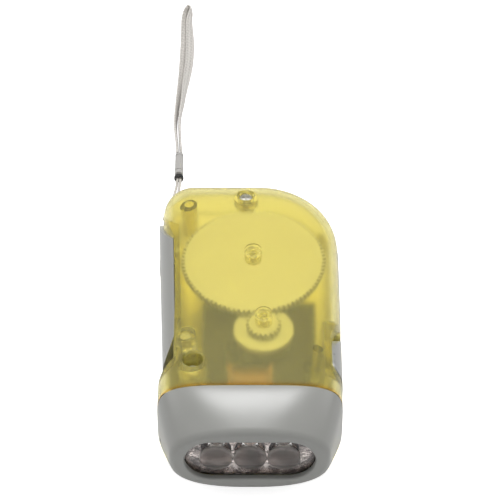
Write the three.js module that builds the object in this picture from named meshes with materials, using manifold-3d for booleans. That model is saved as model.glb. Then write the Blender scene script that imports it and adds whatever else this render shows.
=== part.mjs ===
// Squeeze-lever dynamo torch with a wrist strap, lying on its broad flat side.
// Units are millimetres. X points right, Y points from the lamp end to the tail, Z points up.
// The origin is on the flat underside, near the middle of the case. The lamp faces -Y.
import * as THREE from 'three';
import { mergeVertices } from 'three/addons/utils/BufferGeometryUtils.js';
import Module from 'manifold-3d';

const wasm = await Module();
wasm.setup();

// Case
const caseLength = 105;
const headReach = 54.5;
const caseWidth = 56;
const caseThickness = 35;
const caseWall = 2;
const crownExponent = 4.4;
const tailRightRadius = 25;
const tailLeftRadius = 9.5;
const seamGap = 0.3;
const halfWidth = caseWidth / 2;
const halfThickness = caseThickness / 2;
const midHeight = halfThickness;
const tailEnd = caseLength - headReach;
const lampEnd = -headReach;

// Named clearances and the overrun of every cut
const clearance = 0.3;
const runningGap = 0.5;
const overrun = 5;

// Lamp head
const bezelDepth = 15;
const bezelWall = 2;
const faceWidth = 47.5;
const faceHeight = 26;
const faceExponent = 2.5;
const sideTaperPower = 1.1;
const topTaperPower = 1.4;
const windowWidth = 39.2;
const windowHeight = 16.8;
const lensThickness = 1.2;
const lensLip = 1;
const faceWall = 1.6;
const lensPostReach = 1.8;
const lensPostShares = [[0, 1], [0.45, 0.95], [0.8, 0.8], [1, 0.55]];
const reflectorDepth = 8;
const reflectorWall = 1.1;
const cupDiameter = 9.8;
const cupSpacing = 10.15;
const cupCount = 3;
const cupDepthShares = [0, 0.12, 0.3, 0.5, 0.7, 0.86];
const ledDiameter = 5;
const ledLength = 7;
const boardThickness = 1.2;
const bezelBack = lampEnd + bezelDepth;
const lensFront = lampEnd + faceWall;
const lensBack = lensFront + lensThickness;
const reflectorFront = lensBack + clearance;
const reflectorBack = reflectorFront + reflectorDepth;
const ledBoardFront = reflectorBack + clearance;

// Gears. The drive axle and the rotor axle stand upright between the two shells.
const driveAxleX = 1;
const driveAxleY = 16.5;
const rotorAxleX = 4.2;
const gearModule = 0.5;
const driveGearTeeth = 88;
const rotorPinionTeeth = 20;
const rackModule = 0.8;
const rackTeeth = 88;
const drivePinionTeeth = 10;
const gearDrop = 5.5;
const gearThickness = 2;
const rootShare = -1.15;
const tipShare = 0.8;
const sectorWindowShares = [0.35, 0.85];
const gearHubHeight = 2.4;
const gearHubRadius = 3.4;
const rackBottom = 8;
const rackThickness = 3;
const axleRadius = 0.9;
const driveGearRadius = (gearModule * driveGearTeeth) / 2;
const rotorPinionRadius = (gearModule * rotorPinionTeeth) / 2;
const gearSpan = driveGearRadius + rotorPinionRadius;
const rotorAxleY = driveAxleY - Math.sqrt(gearSpan ** 2 - (rotorAxleX - driveAxleX) ** 2);
const rackRadius = (rackModule * rackTeeth) / 2;
const drivePinionRadius = (rackModule * drivePinionTeeth) / 2;
const gearTop = caseThickness - gearDrop;
const gearBottom = gearTop - gearThickness;

// Lever. It turns on an upright pin inside the case and lies in a notch in the left side.
const pivotY = -17;
const leverTravel = 18;
const leverTilt = 2.35;
const leverInset = 1;
const leverWall = 1.6;
const notchDepth = 4.1;
const notchTilt = 1.9;
const notchHeight = 30.8;
const notchCapLength = 21.8;
const notchCapCentre = 22.7;
const notchCapExponent = 1.17;
const notchPointShare = 1.8;
const notchSlopeStart = 9;
const notchSlopeLength = 5.5;
const leverNose = [[-0.5, 0], [4.5, 1.6], [7.4, 2.9], [8, 4.4]];
const ribThickness = 1.2;
const ribPlaces = [8, 38];
const armHeight = 10;
const armStart = 2.6;
const armLength = 9;
const hubRadius = 3.2;
const hubRise = 5.5;
const hubTop = midHeight + hubRise;
const pinRadius = 1.5;
const pinBottom = 4.2;
const pinDrop = 4.5;
const pinTop = caseThickness - pinDrop;
const springWire = 0.8;
const springCurls = 3;
const springPitch = 1.25;
const springRadius = 2.9;
const rackReach = rackRadius + drivePinionRadius;
const pivotX = driveAxleX - Math.sqrt(rackReach ** 2 - (driveAxleY - pivotY) ** 2);
const notchWallX = -halfWidth + notchDepth;
const notchWallSlope = Math.tan(THREE.MathUtils.degToRad(notchTilt));
const leverInner = notchWallX + (notchCapCentre - pivotY) * notchWallSlope - clearance;

// Rotor and stator
const flywheelRadius = 9.2;
const flywheelThickness = 1.6;
const flywheelDrop = 2.2;
const flywheelBottom = gearBottom - flywheelDrop;
const magnetRadius = 7.7;
const magnetDrop = 3.5;
const magnetBottom = midHeight - magnetDrop;
const poleGap = 0.7;
const stackDrop = 1.5;
const stackBottom = midHeight - stackDrop;
const stackThickness = 5;
const poleSlot = 7;
const statorLeft = -15;
const statorRight = 20.6;
const statorTail = 6;
const statorHead = -28;
const statorNeckX = -11.6;
const statorNeckY = -21.4;
const statorShoulderX = 16.8;
const statorShoulderY = -18.5;
const coreBarWidth = 5.5;
const coilHalfLength = 6.8;
const bobbinFlange = 0.9;
const bobbinFlangeRadius = 6.2;
const coilWire = 0.85;
const coilLoops = 8;
const coilRadius = 5.3;
const coreBarY = statorHead + coreBarWidth / 2;
const stackMiddle = stackBottom + stackThickness / 2;

// Screw posts, strap post and locating pillar
const tailScrewX = -1.3;
const tailScrewY = 41.8;
const headScrewX = -17.3;
const headScrewY = -28.5;
const strapPostX = -19.4;
const strapPostY = 38.2;
const pillarX = 20.3;
const pillarY = -22.8;
const postWall = 1.1;
const tailBoreRadius = 2.8;
const headBoreRadius = 3.2;
const boreFloor = 1.2;
const screwHeadRadius = 2.3;
const screwHeadHeight = 1.7;
const screwShankRadius = 1.1;
const screwLength = 20;
const tailScrewDrop = 4;
const headScrewDrop = 7.6;
const tailScrewSeat = caseThickness - tailScrewDrop;
const headScrewSeat = caseThickness - headScrewDrop;
const crossSlotShare = 0.62;
const crossWidthShare = 0.16;
const strapPostRadius = 1.5;
const pillarRadius = 1.5;
const axleBossRadius = 2.7;
const upperBossDrop = 5;
const upperBossBottom = caseThickness - upperBossDrop;
const lowerBossTop = 6.5;
const bossRingDepth = 0.5;
const bossRingRadius = 1.4;

const supportRadius = 1.4;
const statorPosts = [[-12.6, -19.6], [18.6, -6], [13.6, -22.6]];
const boardPosts = [[-10.4, -34.6], [3.6, -34.6], [-3, -24.6]];

// Switch on the right side, and the strip behind it
const knobHead = -30.5;
const knobTail = -12.2;
const knobHeight = 28;
const knobThickness = 3.4;
const knobProud = 0.2;
const knobTailCorner = 12;
const knobHeadCorner = 3;
const knobTravel = 3;
const knobRidges = 5;
const knobRidgeDepth = 0.5;
const knobRidgeSpacing = 1.4;
const knobRidgeHeight = 8;
const switchRecessDepth = 3.7;
const stemCentre = -17.9;
const stemHeight = 2.4;
const stemLength = 3;
const stemDrop = 4;
const prongWidth = 1;
const stemReach = stemLength / 2 + clearance + prongWidth;
const switchCentre = -15.8;
const switchBodyLength = 10.6;
const switchBodyDepth = 4.6;
const switchBodyHeight = 4.4;
const switchBodyWall = 1;
const actuatorDepth = 3;
const stripLength = 45;
const stripHeight = 10;
const stripThickness = 1.2;
const stripProud = 0.2;
const stripStart = -6.5;
const switchRight = halfWidth - switchRecessDepth - caseWall - runningGap;
const switchLeft = switchRight - switchBodyDepth;
const switchMiddle = midHeight - stemDrop;

// Battery pack, control board and its parts
const cellRadius = 5.6;
const cellThickness = 3.9;
const cellCount = 3;
const cellGap = 0.3;
const batteryX = 13.8;
const batteryFront = -38.2;
const batteryBottom = 3.6;
const tabThickness = 0.4;
const tabWidth = 4;
const controlLeft = -12.8;
const controlRight = 6;
const controlFront = -37.4;
const controlBack = -22.6;
const controlBottom = 4.6;
const capacitorRadius = 2.5;
const capacitorLength = 7;
const diodeRadius = 0.9;
const diodeLength = 3.6;
const diodeCount = 4;
const diodeSpacing = 3;
const wireDiameter = 0.9;
const batteryZ = batteryBottom + cellRadius;
const rearTabFront = batteryFront + cellCount * (cellThickness + cellGap) - cellGap + clearance;
const boardTop = controlBottom + boardThickness;

// Latch slide on the lever
const latchLength = 9;
const latchHeight = 7;
const latchThickness = 1.2;
const latchTravel = 3;
const latchCentre = 27;
const latchTongue = 2.4;

// Wrist strap
const stringDiameter = 0.9;
const strapX = -24.25;
const strapZ = 2;
const ringOuterDiameter = 3.2;
const ringLength = 1.3;
const ringFront = 81.6;
const sleeveWidth = 2.8;
const sleeveHeight = 4;
const sleeveLength = 9.8;
const sleeveFront = 83.4;
const bandWidth = 3.6;
const bandThickness = 0.9;
const bandLift = 0.05;
const bandSectionShares = [[-1, -0.6], [-0.85, -1], [0.85, -1], [1, -0.6], [1, 0.6], [0.85, 1],
  [-0.85, 1], [-1, 0.6]];

// How finely round shapes are drawn
const crownAngles = [0, 15, 30, 46, 62, 78];
const cornerSteps = 6;
const headSides = 36;
const headSteps = 4;
const largeSides = 40;
const mediumSides = 20;
const smallSides = 12;
const strandSteps = 28;
const bandSteps = 50;
const stringSides = 8;
const wireSteps = 14;
const windowSteps = 12;
const noseSteps = 5;
const slideSteps = 6;

// Helpers that turn three.js geometry into solids and back

function toSolid(geometry) {
  const bare = geometry.clone();
  bare.deleteAttribute('normal');
  bare.deleteAttribute('uv');
  const merged = mergeVertices(bare, 1e-4);
  return new wasm.Manifold(new wasm.Mesh({
    numProp: 3,
    vertProperties: new Float32Array(merged.attributes.position.array),
    triVerts: new Uint32Array(merged.index.array),
  }));
}

// The same solid with its faces turned outwards, for a turned profile drawn the other way round
function outward(geometry) {
  const flipped = geometry.clone();
  const index = flipped.index.array;
  for (let i = 0; i < index.length; i += 3) [index[i], index[i + 1]] = [index[i + 1], index[i]];
  const solid = toSolid(geometry);
  return solid.volume() > 0 ? solid : toSolid(flipped);
}

function toGeometry(solid) {
  const mesh = solid.getMesh();
  const geometry = new THREE.BufferGeometry();
  geometry.setAttribute('position', new THREE.BufferAttribute(mesh.vertProperties, 3));
  geometry.setIndex(new THREE.BufferAttribute(mesh.triVerts, 1));
  geometry.computeVertexNormals();
  return geometry;
}

function box(x0, x1, y0, y1, z0, z1) {
  const geometry = new THREE.BoxGeometry(x1 - x0, y1 - y0, z1 - z0);
  return toSolid(geometry.translate((x0 + x1) / 2, (y0 + y1) / 2, (z0 + z1) / 2));
}

function disc(radius, x, y, bottom, top, sides = mediumSides) {
  const geometry = new THREE.CylinderGeometry(radius, radius, top - bottom, sides);
  return toSolid(geometry.rotateX(Math.PI / 2).translate(x, y, (bottom + top) / 2));
}

// A cylinder lying along Y, for the lamps and the battery
function barrel(radius, x, z, front, back, sides = mediumSides) {
  const geometry = new THREE.CylinderGeometry(radius, radius, back - front, sides);
  return toSolid(geometry.translate(x, (front + back) / 2, z));
}

// A cylinder lying along X, for the coil
function spool(radius, y, z, left, right, sides = mediumSides) {
  const geometry = new THREE.CylinderGeometry(radius, radius, right - left, sides);
  return toSolid(geometry.rotateZ(Math.PI / 2).translate((left + right) / 2, y, z));
}

// A flat plate whose outline lies in the XY plane
function plate(points, bottom, top) {
  const shape = new THREE.Shape(points.map(([x, y]) => new THREE.Vector2(x, y)));
  const geometry = new THREE.ExtrudeGeometry(shape, { depth: top - bottom, bevelEnabled: false });
  return toSolid(geometry.translate(0, 0, bottom));
}

// A plate whose outline lies in the YZ plane, running along X
function sidePlate(points, left, right) {
  const shape = new THREE.Shape(points.map(([y, z]) => new THREE.Vector2(y, z)));
  const geometry = new THREE.ExtrudeGeometry(shape, { depth: right - left, bevelEnabled: false });
  const turn = new THREE.Matrix4().makeBasis(
    new THREE.Vector3(0, 1, 0), new THREE.Vector3(0, 0, 1), new THREE.Vector3(1, 0, 0));
  return toSolid(geometry.applyMatrix4(turn).translate(left, 0, 0));
}

// A plate whose outline lies in the XZ plane, running along Y
function frontPlate(points, front, back) {
  const shape = new THREE.Shape(points.map(([x, z]) => new THREE.Vector2(x, z)));
  const geometry = new THREE.ExtrudeGeometry(shape, { depth: back - front, bevelEnabled: false });
  return toSolid(geometry.rotateX(Math.PI / 2).translate(0, back, 0));
}

function arc(cx, cy, rx, ry, fromDegrees, toDegrees, steps) {
  return Array.from({ length: steps + 1 }, (_, i) => {
    const angle = THREE.MathUtils.degToRad(fromDegrees + ((toDegrees - fromDegrees) * i) / steps);
    return [cx + rx * Math.cos(angle), cy + ry * Math.sin(angle)];
  });
}

function stadium(cx, cy, length, height, steps = 8) {
  const r = height / 2;
  const reach = length / 2 - r;
  return [...arc(cx + reach, cy, r, r, -90, 90, steps), ...arc(cx - reach, cy, r, r, 90, 270, steps)];
}

function turned(points, x, y, degrees) {
  const angle = THREE.MathUtils.degToRad(degrees);
  return points.map(([px, py]) => [
    x + (px - x) * Math.cos(angle) - (py - y) * Math.sin(angle),
    y + (px - x) * Math.sin(angle) + (py - y) * Math.cos(angle),
  ]);
}

function turnSolid(solid, x, y, degrees) {
  const geometry = toGeometry(solid);
  geometry.translate(-x, -y, 0).rotateZ(THREE.MathUtils.degToRad(degrees)).translate(x, y, 0);
  return toSolid(geometry);
}

// Closes a stack of equal rings into one solid, with a flat fan at each end
function loft(rings) {
  const count = rings[0].length;
  const positions = rings.flat(2);
  const index = [];
  for (let k = 0; k < rings.length - 1; k += 1) {
    for (let i = 0; i < count; i += 1) {
      const a = k * count + i;
      const b = k * count + ((i + 1) % count);
      index.push(a, b, b + count, a, b + count, a + count);
    }
  }
  for (const [ring, start, flip] of [
    [rings[0], 0, true], [rings.at(-1), (rings.length - 1) * count, false]]) {
    const centre = [0, 1, 2].map((axis) => ring.reduce((sum, p) => sum + p[axis], 0) / count);
    const hub = positions.length / 3;
    positions.push(...centre);
    for (let i = 0; i < count; i += 1) {
      const next = start + ((i + 1) % count);
      index.push(...(flip ? [hub, next, start + i] : [hub, start + i, next]));
    }
  }
  const geometry = new THREE.BufferGeometry();
  geometry.setAttribute('position', new THREE.Float32BufferAttribute(positions, 3));
  geometry.setIndex(index);
  return toSolid(geometry);
}

// A tube of round section along a smooth curve through the points
function tube(points, diameter, steps, sides = 6) {
  const places = points.map((point) => new THREE.Vector3(...point));
  const curve = new THREE.CatmullRomCurve3(places, false, 'centripetal');
  const section = new THREE.Shape(arc(0, 0, diameter / 2, diameter / 2, 0, 360, sides)
    .slice(0, -1).map(([x, y]) => new THREE.Vector2(x, y)));
  return new THREE.ExtrudeGeometry(section, { steps, extrudePath: curve, bevelEnabled: false });
}

// A coil of wire about an upright or lying axis, swept ring by ring so that it never twists
function helix(radius, wire, pitch, curls, stepsPerCurl, sides, place) {
  const steps = curls * stepsPerCurl;
  const rings = [];
  for (let k = 0; k <= steps; k += 1) {
    const turn = (2 * Math.PI * k) / stepsPerCurl;
    const along = (pitch * k) / stepsPerCurl;
    const ring = [];
    for (let i = 0; i < sides; i += 1) {
      const a = (2 * Math.PI * i) / sides;
      const r = radius + (wire / 2) * Math.cos(a);
      ring.push(place(r * Math.cos(turn), r * Math.sin(turn), along + (wire / 2) * Math.sin(a)));
    }
    rings.push(ring);
  }
  return rings;
}

function mirrorWhenInsideOut(rings) {
  const solid = loft(rings);
  return solid.volume() > 0 ? solid : loft(rings.map((ring) => [...ring].reverse()));
}

// Case outline: a rectangle with its own radius at each tail corner, drawn in by an inset
function caseOutline(inset, halfW, tail, head) {
  const corner = (sign, radius, from) => {
    const r = Math.max(radius - inset, clearance);
    return arc(sign * (halfW - inset - r), tail - inset - r, r, r, from, from + 90, cornerSteps);
  };
  return [
    [-halfW + inset, head], [halfW - inset, head],
    ...corner(1, tailRightRadius, 0), ...corner(-1, tailLeftRadius, 90),
  ];
}

// A cushion-shaped body whose sides, tail and faces round into each other
function pillow(inward, head) {
  const halfW = halfWidth - inward;
  const halfT = halfThickness - inward;
  const tail = tailEnd - inward;
  const power = 2 / crownExponent;
  const last = THREE.MathUtils.degToRad(crownAngles.at(-1));
  const levels = crownAngles.map((degrees) => {
    const angle = THREE.MathUtils.degToRad(degrees);
    return [halfW * (1 - Math.cos(angle) ** power), halfT * (Math.sin(angle) / Math.sin(last)) ** power];
  });
  const ringAt = (inset, z) => caseOutline(inset, halfW, tail, head).map(([x, y]) => [x, y, z]);
  const below = levels.slice(1).reverse().map(([inset, z]) => ringAt(inset, midHeight - z));
  const above = levels.map(([inset, z]) => ringAt(inset, midHeight + z));
  return loft([...below, ...above]);
}

// The notch that the lever lies in: seen from the side its tail end runs to a blunt point
function notch(grow) {
  const slopeY = pivotY - notchSlopeStart;
  const wallAt = (y) => notchWallX + (notchCapCentre - y) * notchWallSlope + grow;
  const far = -caseWidth;
  const foot = slopeY - notchSlopeLength - grow;
  const plan = [
    [wallAt(tailEnd), tailEnd], [wallAt(slopeY), slopeY - grow / 2],
    [-halfWidth - grow / 2, foot], [far, foot], [far, tailEnd],
  ];
  return plate(plan.reverse(), -caseThickness, 2 * caseThickness).intersect(notchSide(grow));
}

function notchSide(grow) {
  const halfH = notchHeight / 2 + grow;
  const reach = notchCapLength + notchPointShare * grow;
  const power = 2 / notchCapExponent;
  const cap = arc(0, 0, 1, 1, -90, 90, 16).map(([along, up]) => [
    notchCapCentre + reach * Math.max(along, 0) ** power,
    midHeight + halfH * Math.sign(up) * Math.abs(up) ** power,
  ]);
  return sidePlate([[-caseLength, midHeight - halfH], ...cap, [-caseLength, midHeight + halfH]],
    -caseLength, caseLength);
}

// A rectangle with large rounded corners at its tail end and small ones at its head end
function slideOutline(head, tail, height) {
  const half = height / 2;
  const corner = (y, sign, radius, from) => arc(y, midHeight + sign * (half - radius), radius, radius,
    from, from + 90, slideSteps);
  const tailY = tail - knobTailCorner;
  const headY = head + knobHeadCorner;
  return [
    ...corner(tailY, -1, knobTailCorner, -90), ...corner(tailY, 1, knobTailCorner, 0),
    ...corner(headY, 1, knobHeadCorner, 90), ...corner(headY, -1, knobHeadCorner, 180),
  ];
}

function switchRecess(grow) {
  const rim = clearance + grow;
  const outline = slideOutline(knobHead - rim, knobTail + knobTravel + rim, knobHeight + 2 * rim);
  return sidePlate(outline, halfWidth - switchRecessDepth - grow, halfWidth + overrun);
}

function stripRecess() {
  const outline = stadium(stripStart + stripLength / 2, midHeight,
    stripLength + 2 * clearance, stripHeight + 2 * clearance);
  return sidePlate(outline, halfWidth / 2, halfWidth + overrun)
    .subtract(pillow(stripThickness + clearance - stripProud, lampEnd));
}

const emptyCase = () => {
  const outside = pillow(0, lampEnd).subtract(notch(0)).subtract(switchRecess(0));
  const inside = pillow(caseWall, lampEnd - overrun).subtract(notch(caseWall))
    .subtract(switchRecess(caseWall));
  return { outside, inside };
};

// A narrow post with a wider cup on top of it, in which the screw's head sits
function screwPost([x, y, seat, bore]) {
  const shaft = screwShankRadius + clearance + postWall;
  return {
    upper: disc(shaft, x, y, midHeight + seamGap / 2, seat, mediumSides)
      .add(disc(bore + postWall, x, y, seat - boreFloor, caseThickness - caseWall / 2, mediumSides)),
    upperCut: disc(bore, x, y, seat, caseThickness + overrun, mediumSides)
      .add(disc(screwShankRadius + clearance, x, y, midHeight - overrun, caseThickness, smallSides)),
    lower: disc(shaft, x, y, caseWall / 2, midHeight - seamGap / 2, mediumSides),
    lowerCut: disc(screwShankRadius + clearance, x, y, seat - screwLength - clearance,
      midHeight + overrun, smallSides),
  };
}

// Posts that stand on the floor of the lower shell: place, radius and top
const floorPosts = [
  [strapPostX, strapPostY, strapPostRadius, midHeight - seamGap / 2],
  [pillarX, pillarY, pillarRadius, midHeight - seamGap / 2],
  ...statorPosts.map(([x, y]) => [x, y, supportRadius, stackBottom - clearance]),
  ...boardPosts.map(([x, y]) => [x, y, supportRadius, controlBottom - clearance]),
  ...[-1, 1].map((side) => [(switchLeft + switchRight) / 2,
    switchCentre + (side * switchBodyLength) / 4, supportRadius,
    switchMiddle - switchBodyHeight / 2 - clearance]),
  ...[0, cellCount - 1].map((k) => [batteryX,
    batteryFront + k * (cellThickness + cellGap) + cellThickness / 2, supportRadius,
    batteryBottom - clearance]),
];

function bothShells() {
  const { outside, inside } = emptyCase();
  const shell = outside.subtract(inside);
  const frontCut = box(-caseWidth, caseWidth, lampEnd - overrun, bezelBack + clearance / 2,
    -overrun, caseThickness + overrun);
  const keepTop = box(-caseWidth, caseWidth, -caseLength, caseLength,
    midHeight + seamGap / 2, caseThickness + overrun);
  const keepBottom = box(-caseWidth, caseWidth, -caseLength, caseLength,
    -overrun, midHeight - seamGap / 2);
  const posts = [[tailScrewX, tailScrewY, tailScrewSeat, tailBoreRadius],
    [headScrewX, headScrewY, headScrewSeat, headBoreRadius]].map(screwPost);
  const axles = [[driveAxleX, driveAxleY], [rotorAxleX, rotorAxleY]];

  let upper = shell;
  let lower = shell;
  for (const post of posts) {
    upper = upper.add(post.upper.intersect(outside));
    lower = lower.add(post.lower.intersect(outside));
  }
  for (const [x, y] of axles) {
    upper = upper.add(disc(axleBossRadius, x, y, upperBossBottom, caseThickness - caseWall / 2));
    lower = lower.add(disc(axleBossRadius, x, y, caseWall / 2, lowerBossTop));
  }
  const pinBoss = pinRadius + postWall + clearance;
  upper = upper.add(disc(pinBoss, pivotX, pivotY, hubTop + springPitch * (springCurls + 1) + clearance,
    caseThickness - caseWall / 2).intersect(outside));
  lower = lower.add(disc(pinBoss, pivotX, pivotY, caseWall / 2, rackBottom - clearance).intersect(outside));
  upper = upper.add(disc(strapPostRadius + postWall, strapPostX, strapPostY,
    midHeight + stringDiameter + clearance, caseThickness).intersect(outside));
  upper = upper.add(disc(pillarRadius, pillarX, pillarY, midHeight + seamGap / 2, caseThickness)
    .intersect(outside));
  for (const [x, y, radius, top] of floorPosts) {
    lower = lower.add(disc(radius, x, y, 0, top, smallSides).intersect(outside));
  }

  for (const post of posts) {
    upper = upper.subtract(post.upperCut);
    lower = lower.subtract(post.lowerCut);
  }
  const axleBore = axleRadius + clearance;
  for (const [x, y] of axles) {
    upper = upper.subtract(disc(axleBore, x, y, midHeight, caseThickness - caseWall, smallSides));
    const ringBottom = caseThickness - bossRingDepth;
    upper = upper.subtract(disc(axleBossRadius, x, y, ringBottom, caseThickness + overrun)
      .subtract(disc(bossRingRadius, x, y, -overrun, caseThickness + 2 * overrun, smallSides)));
    lower = lower.subtract(disc(axleBore, x, y, caseWall, midHeight, smallSides));
  }
  const pinBore = disc(pinRadius + clearance, pivotX, pivotY, pinBottom - clearance,
    pinTop + clearance, smallSides);
  const swing = disc(hubRadius + runningGap, pivotX, pivotY, rackBottom - clearance,
    hubTop + springPitch * (springCurls + 1) + clearance);
  const slot = box(notchWallX - overrun, pivotX,
    pivotY - armStart, pivotY + armStart + armLength + runningGap,
    midHeight - armHeight / 2 - runningGap, midHeight + armHeight / 2 + runningGap);
  const stemSlot = box(halfWidth - switchRecessDepth - caseWall - clearance, halfWidth,
    stemCentre - stemReach - clearance, stemCentre + stemReach + knobTravel + clearance,
    midHeight - stemDrop - stemHeight / 2 - clearance, midHeight - stemDrop + stemHeight / 2 + clearance);
  const latchSlot = box(notchWallX - clearance, notchWallX + caseWall + clearance,
    latchCentre - latchTongue - runningGap, latchCentre + latchTongue + latchTravel + runningGap,
    midHeight - latchTongue / 2 - runningGap, midHeight + latchTongue / 2 + runningGap);
  const strapHole = strapCut();
  const cuts = [frontCut, pinBore, swing, slot, stemSlot, latchSlot, strapHole, stripRecess()];
  for (const cut of cuts) {
    upper = upper.subtract(cut);
    lower = lower.subtract(cut);
  }
  upper = upper.subtract(disc(strapPostRadius, strapPostX, strapPostY,
    midHeight, caseThickness - caseWall, smallSides));
  upper = upper.subtract(disc(pillarRadius - postWall / 2, pillarX, pillarY,
    caseThickness - bossRingDepth, caseThickness + overrun, smallSides));
  return { upper: upper.intersect(keepTop), lower: lower.intersect(keepBottom) };
}

// The strap's way out through the rounded tail corner at mid height
function strapCut() {
  const cx = -halfWidth + tailLeftRadius;
  const cy = tailEnd - tailLeftRadius;
  const geometry = new THREE.CylinderGeometry(2 * stringDiameter, 2 * stringDiameter,
    tailLeftRadius + overrun, smallSides);
  geometry.translate(0, (tailLeftRadius + overrun) / 2, 0);
  return toSolid(geometry.rotateZ(Math.PI / 4).translate(cx, cy, midHeight));
}

// Gears

// Toothed outline about a centre; one tooth points along the phase angle
function teethPoints(teeth, size, x, y, phase, first, last) {
  const r = (teeth * size) / 2;
  const pitch = 360 / teeth;
  const flankShares = [[-0.31, rootShare], [-0.13, tipShare], [0.13, tipShare], [0.31, rootShare]];
  const points = [];
  for (let k = first; k <= last; k += 1) {
    for (const [turn, depth] of flankShares) {
      const angle = THREE.MathUtils.degToRad(phase + (k + turn) * pitch);
      const radius = r + depth * size;
      points.push([x + radius * Math.cos(angle), y + radius * Math.sin(angle)]);
    }
  }
  return points;
}

function gear(teeth, size, x, y, phase, bottom, top) {
  const bore = disc(axleRadius + clearance, x, y, bottom - overrun, top + overrun, smallSides);
  return plate(teethPoints(teeth, size, x, y, phase, 0, teeth - 1), bottom, top).subtract(bore);
}

function directionFrom(x0, y0, x1, y1) {
  return THREE.MathUtils.radToDeg(Math.atan2(y1 - y0, x1 - x0));
}

const toDrive = directionFrom(pivotX, pivotY, driveAxleX, driveAxleY);
const toRotor = directionFrom(driveAxleX, driveAxleY, rotorAxleX, rotorAxleY);
const halfTurn = 180;

function driveGear() {
  const wheel = gear(driveGearTeeth, gearModule, driveAxleX, driveAxleY, toRotor, gearBottom, gearTop);
  const hub = disc(gearHubRadius, driveAxleX, driveAxleY, gearBottom - gearHubHeight, gearBottom)
    .subtract(disc(axleRadius + clearance, driveAxleX, driveAxleY, -overrun, caseThickness, smallSides));
  return wheel.add(hub);
}

function drivePinion() {
  return gear(drivePinionTeeth, rackModule, driveAxleX, driveAxleY,
    toDrive + halfTurn + halfTurn / drivePinionTeeth,
    rackBottom - clearance, rackBottom + rackThickness + clearance);
}

function rotorPinion() {
  return gear(rotorPinionTeeth, gearModule, rotorAxleX, rotorAxleY,
    toRotor + halfTurn + halfTurn / rotorPinionTeeth, gearBottom, gearTop);
}

// The toothed sector that the lever swings; its teeth follow the lever's travel
function sectorGear() {
  const pitch = 360 / rackTeeth;
  const first = -Math.ceil(leverTravel / pitch) - 1;
  const teeth = teethPoints(rackTeeth, rackModule, pivotX, pivotY, toDrive, first, 1);
  const edge = (degrees, radius) => {
    const angle = THREE.MathUtils.degToRad(degrees);
    return [pivotX + radius * Math.cos(angle), pivotY + radius * Math.sin(angle)];
  };
  const start = toDrive + (first - 1 / 2) * pitch;
  const end = toDrive + (1 + 1 / 2) * pitch;
  const root = rackRadius + rootShare * rackModule;
  const outline = [[pivotX, pivotY], edge(start, root), ...teeth, edge(end, root)];
  const opening = [edge(start + 2 * pitch, rackRadius * sectorWindowShares[0]),
    edge(start + pitch, rackRadius * sectorWindowShares[1]),
    edge(end - pitch, rackRadius * sectorWindowShares[1]),
    edge(end - 2 * pitch, rackRadius * sectorWindowShares[0])];
  return plate(outline, rackBottom, rackBottom + rackThickness)
    .subtract(plate(opening, -overrun, caseThickness))
    .add(disc(hubRadius, pivotX, pivotY, rackBottom, rackBottom + rackThickness))
    .subtract(disc(pinRadius + clearance, pivotX, pivotY, -overrun, caseThickness, smallSides));
}

function axle(x, y) {
  return disc(axleRadius, x, y, caseWall + clearance, caseThickness - caseWall - clearance, smallSides);
}

function flywheel() {
  const top = flywheelBottom + flywheelThickness;
  return disc(flywheelRadius, rotorAxleX, rotorAxleY, flywheelBottom, top, largeSides)
    .subtract(disc(axleRadius + clearance, rotorAxleX, rotorAxleY, -overrun, caseThickness, smallSides));
}

function rotorMagnet() {
  return disc(magnetRadius, rotorAxleX, rotorAxleY, magnetBottom, flywheelBottom - clearance, largeSides)
    .subtract(disc(axleRadius + clearance, rotorAxleX, rotorAxleY, -overrun, caseThickness, smallSides));
}

// Lever

function leverPlan() {
  const nose = leverNose.map(([ahead, out]) => [leverInner - out, pivotY - ahead]);
  return [[pivotX, tailEnd], [-caseWidth, tailEnd], [-caseWidth, nose.at(-1)[1]], ...nose.reverse(),
    [pivotX, pivotY + clearance]];
}

function leverBody(inward) {
  return turnSolid(toSolid(toGeometry(pillow(inward, lampEnd)).translate(leverInset, 0, 0)),
    pivotX, pivotY, leverTilt);
}

function lever() {
  const plan = plate(leverPlan(), -overrun, caseThickness + overrun);
  const outside = leverBody(0).intersect(notch(-clearance)).intersect(plan);
  const rim = clearance + leverWall;
  const pocketSpan = box(-caseWidth, pivotX, pivotY + armStart + armLength + leverWall, tailEnd,
    -overrun, caseThickness + overrun);
  const pocket = leverBody(leverWall).intersect(notchSide(-rim)).intersect(pocketSpan);
  const armInner = notchWallX - (notchDepth - leverWall) / 2;
  const armPlan = [[armInner, pivotY + armStart], [pivotX + hubRadius / 2, pivotY],
    [pivotX + hubRadius / 2, pivotY + armStart], [notchWallX, pivotY + armStart + armLength],
    [armInner, pivotY + armStart + armLength]];
  const arm = plate(armPlan, midHeight - armHeight / 2, midHeight + armHeight / 2);
  const hub = disc(hubRadius, pivotX, pivotY, rackBottom + rackThickness + clearance, hubTop);
  const bore = disc(pinRadius + clearance, pivotX, pivotY, -overrun, caseThickness, smallSides);
  const ribs = ribPlaces.map((y) => box(-caseWidth, pivotX, y, y + ribThickness,
    -overrun, caseThickness + overrun).intersect(outside));
  let body = outside.subtract(pocket);
  for (const rib of ribs) body = body.add(rib);
  return body.subtract(latchCut()).add(arm).add(hub).subtract(bore);
}

// The lever's outer face at mid height, at a place along the case
function leverFaceX(y) {
  return -halfWidth + leverInset - Math.tan(THREE.MathUtils.degToRad(leverTilt)) * (y - pivotY);
}

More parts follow.
